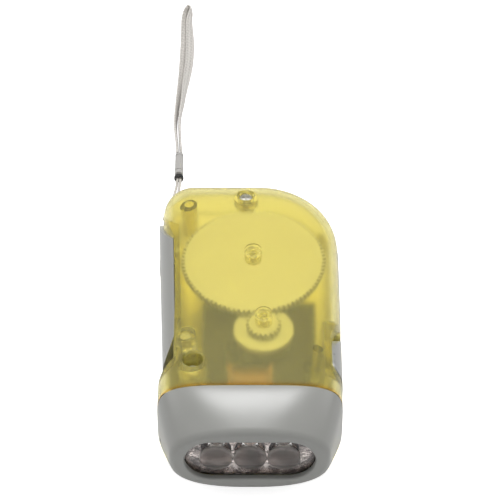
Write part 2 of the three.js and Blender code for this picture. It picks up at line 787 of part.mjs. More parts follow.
function latchCut() {
  const face = leverFaceX(latchCentre);
  const recess = sidePlate(stadium(latchCentre + latchTravel / 2, midHeight,
    latchLength + latchTravel + 2 * clearance, latchHeight + 2 * clearance, slideSteps),
    face - overrun, face + latchThickness + clearance);
  const tongueSlot = box(-caseWidth, notchWallX, latchCentre - latchTongue / 2 - clearance,
    latchCentre + latchTongue / 2 + latchTravel + clearance,
    midHeight - latchTongue / 2 - clearance, midHeight + latchTongue / 2 + clearance);
  return recess.add(tongueSlot);
}

function latchSlide() {
  const face = leverFaceX(latchCentre);
  const button = sidePlate(stadium(latchCentre, midHeight, latchLength, latchHeight, slideSteps),
    face, face + latchThickness);
  const tongue = box(face + latchThickness / 2, notchWallX + caseWall / 2,
    latchCentre - latchTongue / 2, latchCentre + latchTongue / 2,
    midHeight - latchTongue / 2, midHeight + latchTongue / 2);
  return button.add(tongue);
}

function pivotSpring() {
  const bottom = hubTop + clearance + springWire / 2;
  return mirrorWhenInsideOut(helix(springRadius, springWire, springPitch, springCurls, 8, 5,
    (a, b, along) => [pivotX + a, pivotY + b, bottom + along]));
}

// Stator, coil and bobbin

function statorCore() {
  const top = stackBottom + stackThickness;
  const outline = [[statorLeft, statorTail], [statorLeft, statorNeckY],
    [statorNeckX, statorNeckY - coreBarWidth / 2], [statorNeckX, statorHead], [statorShoulderX, statorHead],
    [statorShoulderX, statorShoulderY], [statorRight, statorShoulderY + coreBarWidth / 2],
    [statorRight, statorTail]];
  const coilRoom = box(-coilHalfLength - runningGap, coilHalfLength + runningGap,
    statorHead + coreBarWidth, rotorAxleY, -overrun, caseThickness);
  const slot = box(rotorAxleX - poleSlot / 2, rotorAxleX + poleSlot / 2, rotorAxleY, tailEnd,
    -overrun, caseThickness);
  return plate(outline, stackBottom, top)
    .subtract(disc(magnetRadius + poleGap, rotorAxleX, rotorAxleY, -overrun, caseThickness, largeSides))
    .subtract(coilRoom).subtract(slot);
}

function coilBobbin() {
  const half = coilHalfLength;
  const tubeRadius = coilRadius - coilWire / 2 - clearance;
  const bar = box(-caseWidth, caseWidth, statorHead - clearance, statorHead + coreBarWidth + clearance,
    stackBottom - clearance, stackBottom + stackThickness + clearance);
  return spool(tubeRadius, coreBarY, stackMiddle, -half, half)
    .add(spool(bobbinFlangeRadius, coreBarY, stackMiddle, -half, -half + bobbinFlange))
    .add(spool(bobbinFlangeRadius, coreBarY, stackMiddle, half - bobbinFlange, half))
    .subtract(bar);
}

// The outer layer of the winding: one unbroken wire, with a straight end of one diameter each way
function coilWinding() {
  const room = 2 * (coilHalfLength - bobbinFlange - clearance) - coilWire;
  const pitch = room / coilLoops;
  const rings = helix(coilRadius, coilWire, pitch, coilLoops, 24, 6,
    (a, b, along) => [along - room / 2, coreBarY + a, stackMiddle + b]);
  const shifted = (ring, dz) => ring.map(([x, y, z]) => [x, y, z + dz]);
  return { solid: mirrorWhenInsideOut([shifted(rings[0], -coilWire), ...rings,
    shifted(rings.at(-1), coilWire)]), gap: pitch - coilWire };
}

// Screws, pin and small electrics

function screw(x, y, seat) {
  const headBottom = seat + clearance;
  const head = disc(screwHeadRadius, x, y, headBottom, headBottom + screwHeadHeight);
  const top = seat + clearance + screwHeadHeight;
  const half = screwHeadRadius * crossSlotShare;
  const width = screwHeadRadius * crossWidthShare;
  const cross = box(x - half, x + half, y - width, y + width, top - screwHeadHeight / 2, top + overrun)
    .add(box(x - width, x + width, y - half, y + half, top - screwHeadHeight / 2, top + overrun));
  return head.subtract(cross)
    .add(disc(screwShankRadius, x, y, seat + clearance - screwLength, seat + clearance, smallSides));
}

function knob() {
  const inner = halfWidth - knobThickness;
  const outer = halfWidth + knobProud;
  const crowned = toSolid(toGeometry(pillow(0, lampEnd)).translate(knobProud, 0, 0));
  let body = sidePlate(slideOutline(knobHead, knobTail, knobHeight), inner, outer + overrun)
    .intersect(crowned);
  const middle = (knobHead + knobTail) / 2;
  for (let k = 0; k < knobRidges; k += 1) {
    const y = middle + (k - (knobRidges - 1) / 2) * knobRidgeSpacing;
    body = body.subtract(box(outer - knobRidgeDepth, outer + overrun,
      y - knobRidgeSpacing / 4, y + knobRidgeSpacing / 4,
      midHeight - knobRidgeHeight, midHeight + knobRidgeHeight));
  }
  const prongLeft = halfWidth - switchRecessDepth - caseWall - clearance;
  for (const side of [-1, 1]) {
    const y = stemCentre + side * (stemLength / 2 + prongWidth / 2 + clearance);
    body = body.add(box(prongLeft, inner + knobThickness / 2, y - prongWidth / 2, y + prongWidth / 2,
      midHeight - stemDrop - stemHeight / 2, midHeight - stemDrop + stemHeight / 2));
  }
  return body;
}

function switchBody() {
  const channelHalf = stemHeight / 2 + clearance;
  const front = switchCentre - switchBodyLength / 2;
  const back = switchCentre + switchBodyLength / 2;
  const channel = box(switchRight - actuatorDepth, switchRight + overrun,
    front + switchBodyWall, back - switchBodyWall, switchMiddle - channelHalf, switchMiddle + channelHalf);
  return box(switchLeft, switchRight, front, back,
    switchMiddle - switchBodyHeight / 2, switchMiddle + switchBodyHeight / 2).subtract(channel);
}

function switchActuator() {
  return box(switchRight - actuatorDepth + clearance, halfWidth - knobThickness - clearance,
    stemCentre - stemLength / 2, stemCentre + stemLength / 2,
    switchMiddle - stemHeight / 2, switchMiddle + stemHeight / 2);
}

function sideStrip() {
  const outline = stadium(stripStart + stripLength / 2, midHeight, stripLength, stripHeight);
  return sidePlate(outline, halfWidth / 2, halfWidth + overrun)
    .intersect(pillow(-stripProud, lampEnd))
    .subtract(pillow(stripThickness - stripProud, lampEnd));
}

function cell(k) {
  const front = batteryFront + k * (cellThickness + cellGap);
  return barrel(cellRadius, batteryX, batteryZ, front, front + cellThickness);
}

function batteryTab(front) {
  return box(batteryX - tabWidth / 2, batteryX + tabWidth / 2, front, front + tabThickness,
    batteryZ - cellRadius / 2, batteryZ + cellRadius / 2);
}

function capacitor() {
  const left = controlLeft + 2 * clearance;
  return spool(capacitorRadius, controlFront + capacitorRadius + clearance,
    boardTop + clearance + capacitorRadius, left, left + capacitorLength);
}

function diode(k) {
  const x = controlRight - diodeRadius - clearance - k * diodeSpacing;
  return barrel(diodeRadius, x, boardTop + clearance + diodeRadius, controlFront + clearance,
    controlFront + clearance + diodeLength, smallSides);
}

// Wires inside the case
const lampWireXs = [-4, 4];
const boardEdge = controlFront - clearance;
const boardMiddle = controlBottom + boardThickness / 2;
const lampBoardBack = ledBoardFront + boardThickness + clearance;

function lampWire(x) {
  const fall = (lampBoardBack + boardEdge) / 2;
  return tube([[x, lampBoardBack, midHeight], [x, fall, midHeight - wireDiameter],
    [x, fall, (midHeight + boardMiddle) / 2], [x, fall, boardMiddle + wireDiameter],
    [x, boardEdge, boardMiddle]], wireDiameter, wireSteps);
}

function batteryWire() {
  const tab = rearTabFront + tabThickness + clearance;
  const edge = controlRight + clearance;
  const y = controlBack - 3 * wireDiameter;
  return tube([[batteryX - tabWidth / 2, tab + clearance, batteryZ],
    [batteryX - tabWidth, tab + wireDiameter, batteryZ - wireDiameter],
    [(batteryX + edge) / 2 - wireDiameter, (tab + y) / 2 + wireDiameter, boardMiddle + 3 * wireDiameter],
    [edge + wireDiameter, y, boardMiddle + clearance], [edge, y, boardMiddle]],
    wireDiameter, wireSteps);
}

function switchWire() {
  const edge = controlRight + clearance;
  const y = controlBack - wireDiameter;
  return tube([[switchLeft - clearance, switchCentre, switchMiddle],
    [switchLeft - 3 * wireDiameter, switchCentre - wireDiameter, switchMiddle - 2 * wireDiameter],
    [(switchLeft + edge) / 2, (switchCentre + y) / 2 + wireDiameter, boardMiddle + 2 * wireDiameter],
    [edge + wireDiameter, y, boardMiddle], [edge, y, boardMiddle]],
    wireDiameter, wireSteps);
}

// Wrist strap. Two strands loop round the post in the tail corner, drop to the surface and end
// at the sleeve; the flat band is one loop that leaves the sleeve and comes back to it.
const strandRoutes = [
  [[-17.64, 36.72, 16], [-17.1, 38.7, 16], [-18.3, 40.7, 16.2], [-21, 44.5, 16.8], [-24, 47.5, 17.2],
    [-26.2, 50.2, 16.4], [-27, 53.2, 13], [-26.9, 57, 8.4], [-26.3, 61.2, 4], [-25.6, 65.2, 1.4],
    [-25, 70.3, 0.6], [-24.4, 75.4, 0.6], [-24, 79, 1.1], [-23.75, 81.4, 1.9], [-23.75, 83.1, 2]],
  [[-17.92, 36.44, 16], [-19.6, 35.85, 16], [-21.3, 36.9, 16], [-21.7, 39.2, 16.1], [-21.4, 41.9, 16.3],
    [-22.6, 44.1, 16.7], [-25, 46.6, 17], [-27.4, 49.4, 16], [-28.4, 52.9, 12.2], [-28.4, 56.8, 7.4],
    [-28, 60.8, 3.4], [-27.5, 64.9, 1.2], [-26.8, 70.4, 0.6], [-25.7, 75.9, 0.6], [-25, 79.2, 1.1],
    [-24.75, 81.4, 1.9], [-24.75, 83.1, 2]],
];

// The band's centre line as x and y, and how far it leans from standing on its edge, in degrees
const bandRoute = [
  [-24.95, 93.5, 0], [-25.1, 97, 2], [-25.5, 102, 4], [-25.95, 108, 8], [-25.8, 114, 12], [-25.3, 120, 20],
  [-24.6, 127, 34], [-24, 134, 48], [-23.65, 142, 57], [-23.45, 150, 61], [-23.4, 158, 60],
  [-23.5, 163.5, 50], [-23.4, 167, 36], [-23, 169.6, 20], [-22.2, 171, 10], [-21.4, 169.9, 6],
  [-21.15, 167, 6], [-21, 162, 7], [-20.75, 156, 8], [-20.6, 150, 9], [-20.85, 142, 12], [-21.75, 134, 14],
  [-22.7, 127, 10], [-23.55, 120, 6], [-24.4, 114, 3], [-24.5, 108, 1], [-24.2, 102, 0], [-23.9, 97, 0],
  [-23.6, 93.5, 0],
];

function strand(points) {
  return tube(points, stringDiameter, strandSteps, stringSides);
}

function strapBand() {
  const centres = bandRoute.map(([x, y, lean]) => {
    const angle = THREE.MathUtils.degToRad(lean);
    const z = (bandWidth * Math.cos(angle) + bandThickness * Math.sin(angle)) / 2 + bandLift;
    return new THREE.Vector3(x, y, z);
  });
  const path = new THREE.CatmullRomCurve3(centres, false, 'centripetal');
  const rings = [];
  for (let k = 0; k <= bandSteps; k += 1) {
    const along = k / bandSteps;
    const place = along * (bandRoute.length - 1);
    const low = Math.min(Math.floor(place), bandRoute.length - 2);
    const lean = THREE.MathUtils.lerp(bandRoute[low][2], bandRoute[low + 1][2], place - low);
    const angle = THREE.MathUtils.degToRad(lean);
    const centre = path.getPoint(along);
    const up = new THREE.Vector3(-Math.sin(angle), 0, Math.cos(angle));
    const across = path.getTangent(along).cross(up).normalize();
    rings.push(bandSectionShares.map(([u, n]) => centre.clone()
      .addScaledVector(up, (u * bandWidth) / 2)
      .addScaledVector(across, (n * bandThickness) / 2)
      .toArray()));
  }
  return mirrorWhenInsideOut(rings);
}

function strapRing() {
  const back = ringFront + ringLength;
  const outer = barrel(ringOuterDiameter / 2, strapX, strapZ, ringFront, back);
  return outer.subtract(barrel(stringDiameter + clearance, strapX, strapZ,
    ringFront - overrun, back + overrun, smallSides));
}

function strapSleeve() {
  const outline = turned(stadium(strapX, sleeveHeight / 2, sleeveHeight, sleeveWidth, slideSteps),
    strapX, sleeveHeight / 2, 90);
  return frontPlate(outline, sleeveFront, sleeveFront + sleeveLength);
}

// Group and materials

const group = new THREE.Group();

function addPart(name, shape, color, roughness, metalness = 0, opacity = 1) {
  const geometry = shape.isBufferGeometry ? shape : toGeometry(shape);
  const material = new THREE.MeshStandardMaterial({
    color, roughness, metalness, opacity, transparent: opacity < 1, name: `${name}_material`,
  });
  const mesh = new THREE.Mesh(geometry, material);
  mesh.name = name;
  group.add(mesh);
  return mesh;
}

const yellow = 0xe0d060;
const grey = 0x999a94;
const clear = 0xf4f4f2;
const mirror = 0xb8b4b2;
const steel = 0xb5b7b8;
const nylon = 0xe8e6da;
const boardGreen = 0x2f6a3c;
const black = 0x1b1b1b;
const red = 0xb02020;
const weave = 0xd5d1ca;

const shells = bothShells();
addPart('upper_shell', shells.upper, yellow, 0.15, 0, 0.55);
addPart('lower_shell', shells.lower, yellow, 0.15, 0, 0.55);

// Lamp head

function headSection(y, inset) {
  const t = THREE.MathUtils.clamp((bezelBack - y) / bezelDepth, 0, 1);
  const halfW = halfWidth - (halfWidth - faceWidth / 2) * t ** sideTaperPower - inset;
  const halfH = halfThickness - (halfThickness - faceHeight / 2) * t ** topTaperPower - inset;
  const exponent = crownExponent + (faceExponent - crownExponent) * t;
  return Array.from({ length: headSides }, (_, i) => {
    const angle = (2 * Math.PI * (i + 0.5)) / headSides;
    const x = halfW * Math.sign(Math.cos(angle)) * Math.abs(Math.cos(angle)) ** (2 / exponent);
    const z = halfH * Math.sign(Math.sin(angle)) * Math.abs(Math.sin(angle)) ** (2 / exponent);
    return [x, y, midHeight + z];
  });
}

function headBody(inset, front, back) {
  const rings = [];
  for (let k = 0; k <= headSteps; k += 1) {
    rings.push(headSection(back + ((front - back) * k) / headSteps, inset));
  }
  return mirrorWhenInsideOut(rings);
}

function windowPlate(grow, front, back) {
  const outline = stadium(0, midHeight, windowWidth + 2 * grow, windowHeight + 2 * grow, windowSteps);
  return frontPlate(outline, front, back);
}

function bezel() {
  const outer = headBody(0, lampEnd, bezelBack - clearance / 2);
  const inner = headBody(bezelWall, lensFront, bezelBack + overrun);
  return outer.subtract(inner)
    .subtract(windowPlate(0, lampEnd - overrun, bezelBack))
    .subtract(windowPlate(lensLip + clearance, lensFront, bezelBack));
}

function cupPlaces() {
  return Array.from({ length: cupCount }, (_, i) => (i - (cupCount - 1) / 2) * cupSpacing);
}

// The clear window carries a round lens with a domed face in front of each lamp
function lensCover() {
  const front = lensFront + clearance;
  let body = windowPlate(lensLip, front, lensBack);
  const radius = cupDiameter / 2;
  for (const x of cupPlaces()) {
    const profile = lensPostShares.map(([across, reach]) => new THREE.Vector2(
      across * radius, -reach * lensPostReach));
    profile.push(new THREE.Vector2(radius, lensThickness / 2));
    profile.push(new THREE.Vector2(0, lensThickness / 2));
    const post = new THREE.LatheGeometry(profile, mediumSides);
    body = body.add(outward(post.translate(x, front, midHeight)));
  }
  return body;
}

// Each cup is a bowl that opens forwards and ends in the round hole of its lamp
function reflector() {
  let body = windowPlate(lensLip, reflectorFront, reflectorBack);
  const mouth = cupDiameter / 2;
  const hole = ledDiameter / 2 + clearance;
  for (const x of cupPlaces()) {
    const depth = reflectorDepth - reflectorWall;
    const profile = cupDepthShares.map((share) => new THREE.Vector2(
      hole + (mouth - hole) * Math.sqrt(1 - share / cupDepthShares.at(-1)), share * depth));
    profile.push(new THREE.Vector2(hole, reflectorDepth + overrun));
    profile.push(new THREE.Vector2(0, reflectorDepth + overrun));
    const cup = new THREE.LatheGeometry([new THREE.Vector2(0, -overrun), new THREE.Vector2(mouth, -overrun),
      ...profile], mediumSides);
    body = body.subtract(outward(cup.translate(x, reflectorFront, midHeight)));
  }
  return body;
}

// A clear round-nosed lamp that stands in the bottom of its cup
function led(x) {
  const r = ledDiameter / 2;
  const nose = arc(0, 0, r, r, 90, 0, noseSteps)
    .map(([px, py]) => new THREE.Vector2(Math.max(px, 0), r - py));
  nose[0].x = 0;
  const geometry = new THREE.LatheGeometry([...nose, new THREE.Vector2(r, ledLength),
    new THREE.Vector2(0, ledLength)], smallSides);
  return outward(geometry.translate(x, ledBoardFront - clearance - ledLength, midHeight));
}

addPart('head_bezel', bezel(), grey, 0.4);
addPart('lens_cover', lensCover(), clear, 0.05, 0, 0.3);
addPart('reflector', reflector(), mirror, 0.12, 1);
cupPlaces().forEach((x, i) => addPart(`led_${i + 1}`, led(x), clear, 0.08, 0, 0.6));
addPart('led_board', windowPlate(lensLip, ledBoardFront, ledBoardFront + boardThickness), boardGreen, 0.5);

addPart('drive_gear', driveGear(), nylon, 0.5);
addPart('drive_pinion', drivePinion(), nylon, 0.5);
addPart('drive_axle', axle(driveAxleX, driveAxleY), steel, 0.25, 1);
addPart('sector_gear', sectorGear(), nylon, 0.5);
addPart('lever', lever(), grey, 0.4);
addPart('lever_pin', disc(pinRadius, pivotX, pivotY, pinBottom, pinTop, smallSides), steel, 0.25, 1);
addPart('lever_spring', pivotSpring(), steel, 0.3, 1);
addPart('latch_slide', latchSlide(), grey, 0.45);
addPart('rotor_pinion', rotorPinion(), nylon, 0.5);
addPart('rotor_axle', axle(rotorAxleX, rotorAxleY), steel, 0.25, 1);
addPart('flywheel', flywheel(), nylon, 0.45);
addPart('rotor_magnet', rotorMagnet(), 0x3a3a3c, 0.5, 0.3);
addPart('stator_core', statorCore(), 0x4c4a44, 0.5, 0.8);
addPart('coil_bobbin', coilBobbin(), 0xd9822b, 0.5);
const winding = coilWinding();
addPart('coil_winding', winding.solid, 0xb8663a, 0.3, 1);
addPart('tail_screw', screw(tailScrewX, tailScrewY, tailScrewSeat), steel, 0.25, 1);
addPart('head_screw', screw(headScrewX, headScrewY, headScrewSeat), steel, 0.25, 1);
addPart('switch_knob', knob(), grey, 0.45);
addPart('switch_body', switchBody(), black, 0.5);
addPart('switch_actuator', switchActuator(), black, 0.5);
addPart('side_strip', sideStrip(), grey, 0.5);
for (let k = 0; k < cellCount; k += 1) addPart(`battery_cell_${k + 1}`, cell(k), 0x5d7a45, 0.4);
addPart('battery_tab_front', batteryTab(batteryFront - clearance - tabThickness), steel, 0.3, 1);
addPart('battery_tab_rear', batteryTab(rearTabFront), steel, 0.3, 1);
addPart('control_board', box(controlLeft, controlRight, controlFront, controlBack, controlBottom, boardTop),
  boardGreen, 0.5);
addPart('capacitor', capacitor(), black, 0.4);
for (let k = 0; k < diodeCount; k += 1) addPart(`diode_${k + 1}`, diode(k), black, 0.4);
lampWireXs.forEach((x, i) => addPart(`lamp_wire_${i + 1}`, lampWire(x), i ? black : red, 0.5));
strandRoutes.forEach((route, i) => addPart(`strap_string_${i + 1}`, strand(route), weave, 0.6));
addPart('strap_ring', strapRing(), black, 0.4);
addPart('strap_sleeve', strapSleeve(), grey, 0.5);
addPart('strap_band', strapBand(), weave, 0.7);
addPart('battery_wire', batteryWire(), red, 0.5);
addPart('switch_wire', switchWire(), black, 0.5);
console.log(`Least gap between the coil's loops: ${winding.gap.toFixed(3)} mm`);

export default group;
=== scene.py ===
"""Looks of a squeeze-lever dynamo torch: a translucent case, a lamp head, a lever and a wrist strap.

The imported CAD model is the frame. Shapes are worked out in millimetres, in the frame's own axes,
and are turned into metres when a mesh is made. Angles are in degrees.
"""
import logging
import math
from collections.abc import Sequence
from dataclasses import dataclass
from enum import Enum
from functools import cache

import bpy
import numpy as np
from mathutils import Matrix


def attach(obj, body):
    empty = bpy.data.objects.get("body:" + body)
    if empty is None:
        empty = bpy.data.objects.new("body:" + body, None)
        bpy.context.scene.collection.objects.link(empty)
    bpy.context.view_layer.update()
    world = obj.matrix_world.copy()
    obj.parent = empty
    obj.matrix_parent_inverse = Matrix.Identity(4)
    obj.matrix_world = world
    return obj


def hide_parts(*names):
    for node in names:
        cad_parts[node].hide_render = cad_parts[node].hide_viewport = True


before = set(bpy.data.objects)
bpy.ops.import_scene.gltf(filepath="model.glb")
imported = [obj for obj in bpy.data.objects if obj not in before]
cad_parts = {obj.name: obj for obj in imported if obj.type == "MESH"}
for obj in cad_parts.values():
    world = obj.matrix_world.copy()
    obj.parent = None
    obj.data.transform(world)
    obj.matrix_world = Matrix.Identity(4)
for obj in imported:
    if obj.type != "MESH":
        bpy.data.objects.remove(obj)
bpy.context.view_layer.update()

log = logging.getLogger("torch")
logging.basicConfig(level=logging.INFO, format="%(name)s: %(message)s")

MM = 0.001
CLEARANCE = 0.3
OVERRUN = 5.0

WEAVE_PITCH = 1.55

Points = np.ndarray
Colour = tuple[float, float, float]
Socket = bpy.types.NodeSocket
Feed = Socket | float | Colour


class Axis(Enum):
    """The direction that a section is carried along, as the row's own axis number."""

    X = 0
    Y = 1
    Z = 2


class Cut(Enum):
    """How one solid changes another, by the name that the Boolean modifier gives it."""

    TAKE_AWAY = "DIFFERENCE"
    JOIN = "UNION"
    KEEP_COMMON = "INTERSECT"


def arc(centre: Sequence[float], radius: Sequence[float], start: float, end: float, steps: int) -> Points:
    """Points on an elliptic arc: centre + (rx cos a, ry sin a), with a from start to end in degrees."""
    angle = np.radians(np.linspace(start, end, steps + 1))
    return np.stack([centre[0] + radius[0] * np.cos(angle), centre[1] + radius[1] * np.sin(angle)], axis=1)


def circle(centre: Sequence[float], radius: float, steps: int = 48) -> Points:
    """A closed circle of points, its last point left off."""
    return arc(centre, (radius, radius), 0, 360, steps)[:-1]


def rectangle(low: Sequence[float], high: Sequence[float]) -> Points:
    """The four corners of a rectangle in turn, from its lowest and its highest corner."""
    return np.array([[low[0], low[1]], [high[0], low[1]], [high[0], high[1]], [low[0], high[1]]], float)


def stadium(centre: Sequence[float], length: float, height: float, steps: int = 20) -> Points:
    """A slot outline: two half circles of the slot's height, joined by straight sides.

    Args:
        centre: The middle of the slot.
        length: Its whole length along the first axis.
        height: Its width along the second axis.
        steps: Stretches in each half circle.

    Returns:
        The closed outline, its last point left off.
    """
    r = height / 2
    reach = length / 2 - r
    right = arc((centre[0] + reach, centre[1]), (r, r), -90, 90, steps)
    left = arc((centre[0] - reach, centre[1]), (r, r), 90, 270, steps)
    return np.concatenate([right, left])


def quarter(radius: float, steps: int = 5) -> list[tuple[float, float]]:
    """A rounded edge: r (1 - cos a) and r (1 - sin a), the draw and the drop, for a from 0 to 90 degrees."""
    return [(radius * (1 - math.cos(a)), radius * (1 - math.sin(a)))
            for a in np.radians(np.linspace(0, 90, steps + 1))]


def along_axis(outline: Points, place: float | Points, axis: Axis) -> Points:
    """Sets a flat outline across an axis, at a place on it.

    The other two axes follow in turn after the named one: X takes (Y, Z), Y takes (X, Z), Z takes (X, Y).

    Args:
        outline: Rows of two numbers.
        place: Where on the axis, one number or one for each row.
        axis: The axis that the outline stands across.

    Returns:
        Rows of three numbers.
    """
    out = np.empty((len(outline), 3))
    out[:, axis.value] = place
    out[:, [i for i in range(3) if i != axis.value]] = outline
    return out


def unit(rows: Points) -> Points:
    """Each row scaled to a length of one."""
    return rows / np.linalg.norm(rows, axis=1)[:, None]


def reach_along(path: Points, power: float = 1.0) -> Points:
    """The running sum of each stretch's length to a power, from 0 at a path's first point."""
    return np.cumsum([0, *np.linalg.norm(np.diff(path[:, :3], axis=0), axis=1) ** power])


def tube_faces(rings: int, sides: int) -> list[tuple[int, ...]]:
    """Faces over a stack of equal rings, its two ends closed.

    Args:
        rings: Number of rings.
        sides: Points in each ring.

    Returns:
        Rows of corner numbers.
    """
    k, i = np.meshgrid(np.arange(rings - 1), np.arange(sides), indexing="ij")
    a = (k * sides + i).ravel()
    b = (k * sides + (i + 1) % sides).ravel()
    faces = [tuple(row) for row in np.stack([a, b, b + sides, a + sides], axis=1).tolist()]
    return [*faces, tuple(range(sides - 1, -1, -1)), tuple(range((rings - 1) * sides, rings * sides))]


class Solid:
    """A closed shape in millimetres, which other solids join, cut or limit."""

    def __init__(self, points: Points, faces: Sequence[Sequence[int]]) -> None:
        """Makes the solid, with its faces turned outwards.

        Args:
            points: Rows of three numbers, in millimetres.
            faces: Rows of corner numbers.
        """
        self.mesh = bpy.data.meshes.new("solid")
        self.mesh.from_pydata((np.asarray(points, float) * MM).tolist(), [], [tuple(f) for f in faces])
        self.mesh.update()
        if self.volume() < 0:
            self.mesh.flip_normals()

    def volume(self) -> float:
        """The shape's volume: the sum of the tetrahedra from the origin to each corner triangle."""
        self.mesh.calc_loop_triangles()
        corners = np.empty(len(self.mesh.loop_triangles) * 3, np.int32)
        self.mesh.loop_triangles.foreach_get("vertices", corners)
        places = read_points(self.mesh)
        a, b, c = (places[corners.reshape(-1, 3)[:, k]] for k in range(3))
        return float(np.einsum("ij,ij->i", a, np.cross(b, c)).sum() / 6)

    @classmethod
    def rings(cls, rings: Sequence[Points]) -> "Solid":
        """A skin over a stack of equal rings, closed at both ends."""
        return cls(np.concatenate(rings), tube_faces(len(rings), len(rings[0])))

    @classmethod
    def prism(cls, outline: Points, low: float, high: float, axis: Axis = Axis.Z) -> "Solid":
        """A closed flat outline carried straight along an axis, from its low place to its high one."""
        return cls.rings([along_axis(outline, low, axis), along_axis(outline, high, axis)])

    @classmethod
    def turned(cls, profile: Sequence[Sequence[float]], centre: Sequence[float], axis: Axis = Axis.Z,
               sides: int = 48) -> "Solid":
        """A profile turned about an axis: each row gives a circle's radius, above zero, and its place."""
        return cls.rings([along_axis(circle(centre, r, sides), place, axis) for r, place in profile])

    @classmethod
    def block(cls, low: Sequence[float], high: Sequence[float]) -> "Solid":
        """A box from its lowest corner to its highest."""
        return cls.prism(rectangle(low[:2], high[:2]), low[2], high[2])

    def copy(self) -> "Solid":
        """The same shape again, so that one can be changed."""
        twin = Solid.__new__(Solid)
        twin.mesh = self.mesh.copy()
        return twin

    def change(self, cut: Cut, other: "Solid") -> "Solid":
        """Joins, cuts or limits this solid with another, by the Boolean modifier.

        Args:
            cut: What the other one does.
            other: The other solid, which stays as it is.

        Returns:
            This solid, changed.
        """
        mine = bpy.data.objects.new("mine", self.mesh)
        theirs = bpy.data.objects.new("theirs", other.mesh)
        for thing in (mine, theirs):
            bpy.context.scene.collection.objects.link(thing)
        step = mine.modifiers.new("cut", "BOOLEAN")
        step.operation = cut.value
        step.solver = "MANIFOLD"
        step.object = theirs
        graph = bpy.context.evaluated_depsgraph_get()
        self.mesh = bpy.data.meshes.new_from_object(mine.evaluated_get(graph))
        for thing in (mine, theirs):
            bpy.data.objects.remove(thing)
        return self

    def plus(self, *others: "Solid") -> "Solid":
        """This solid joined with the others."""
        for other in others:
            self.change(Cut.JOIN, other)
        return self

    def minus(self, *others: "Solid") -> "Solid":
        """This solid with the others taken away."""
        for other in others:
            self.change(Cut.TAKE_AWAY, other)
        return self

    def within(self, *others: "Solid") -> "Solid":
        """The part of this solid that lies in all the others."""
        for other in others:
            self.change(Cut.KEEP_COMMON, other)
        return self

    def moved(self, shift: Sequence[float]) -> "Solid":
        """This solid moved by a shift in millimetres."""
        return self.placed(read_points(self.mesh) + np.array(shift) * MM)

    def placed(self, places: Points) -> "Solid":
        """This solid with its points at new places, in metres."""
        self.mesh.vertices.foreach_set("co", places.ravel())
        self.mesh.update()
        return self

    def swung(self, centre: Sequence[float], degrees: float) -> "Solid":
        """This solid turned about an upright axis.

        Args:
            centre: The axis' X and Y.
            degrees: How far, anticlockwise from above.

        Returns:
            This solid, turned.
        """
        angle = math.radians(degrees)
        turn = np.array([[math.cos(angle), -math.sin(angle)], [math.sin(angle), math.cos(angle)]])
        places = read_points(self.mesh)
        middle = np.array(centre) * MM
        places[:, :2] = (places[:, :2] - middle) @ turn.T + middle
        return self.placed(places)


def read_points(mesh: bpy.types.Mesh) -> Points:
    """A mesh's points as rows of three numbers, in metres."""
    places = np.empty(len(mesh.vertices) * 3)
    mesh.vertices.foreach_get("co", places)
    return places.reshape(-1, 3)


def wear_piece(name: str, mesh: bpy.types.Mesh, finish: bpy.types.Material, body: str, nodes: Sequence[str],
               sharp: float = 35.0) -> bpy.types.Object:
    """Makes a mesh a piece of the torch: shaded smooth, dressed, riding on its body.

    Args:
        name: The piece's name.
        mesh: Its mesh, in metres.
        finish: Its material.
        body: The CAD body that it moves with.
        nodes: The CAD nodes that it stands for.
        sharp: Edges that turn by more than this many degrees stay sharp.

    Returns:
        The piece.
    """
    mesh.name = name
    mesh.materials.clear()
    mesh.materials.append(finish)
    mesh.polygons.foreach_set("material_index", np.zeros(len(mesh.polygons), np.int32))
    mesh.polygons.foreach_set("use_smooth", np.ones(len(mesh.polygons), bool))
    mesh.set_sharp_from_angle(angle=math.radians(sharp))
    piece = bpy.data.objects.new(name, mesh)
    bpy.context.scene.collection.objects.link(piece)
    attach(piece, body)
    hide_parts(*nodes)
    log.info("%s: %d faces on %s", name, len(mesh.polygons), body)
    return piece


@dataclass(frozen=True)
class CaseSizes:
    """Sizes that more than one assembly needs. A screw is its X, Y, seat and its bore's radius."""

    wall: float = 2.0
    seam_gap: float = 0.3
    middle: float = 17.5
    thickness: float = 35.0
    half_width: float = 28.0
    tail: float = 50.5
    lamp_end: float = -54.5
    crown: float = 4.4
    bezel_back: float = -39.5
    axles: tuple[tuple[float, float], ...] = ((1.0, 16.5), (4.2, -10.3097))
    pivot: tuple[float, float] = (-19.3566, -17.0)
    notch_depth: float = 4.1
    notch_tilt: float = 1.9
    notch_height: float = 30.8
    notch_cap_centre: float = 22.7
    notch_cap_length: float = 21.8
    notch_cap_exponent: float = 1.17
    notch_point_share: float = 1.8
    notch_slope_start: float = 9.0
    notch_slope_length: float = 5.5
    hub_top: float = 23.0
    rack_bottom: float = 8.0
    spring_pitch: float = 1.25
    spring_curls: int = 3
    pin_radius: float = 1.5
    hub_radius: float = 3.2
    string_width: float = 0.9
    arm_height: float = 10.0
    arm_start: float = 2.6
    arm_length: float = 9.0
    latch_centre: float = 27.0
    latch_tongue: float = 2.4
    latch_travel: float = 3.0
    shank_radius: float = 1.1
    screw_length: float = 20.0
    screws: tuple[tuple[float, float, float, float], ...] = (
        (-1.3, 41.8, 31.0, 2.8), (-17.3, -28.5, 27.4, 3.2))

    @property
    def notch_wall(self) -> float:
        """X of the notch's inner wall where its pointed end begins."""
        return -self.half_width + self.notch_depth

    def wall_at(self, y: float) -> float:
        """X of the notch's inner wall, which leans in towards the head, at a place along the case."""
        return self.notch_wall + (self.notch_cap_centre - y) * math.tan(math.radians(self.notch_tilt))

    @property
    def spring_top(self) -> float:
        """Z of the top of the room for the lever's spring."""
        return self.hub_top + self.spring_pitch * (self.spring_curls + 1) + CLEARANCE


CASE = CaseSizes()


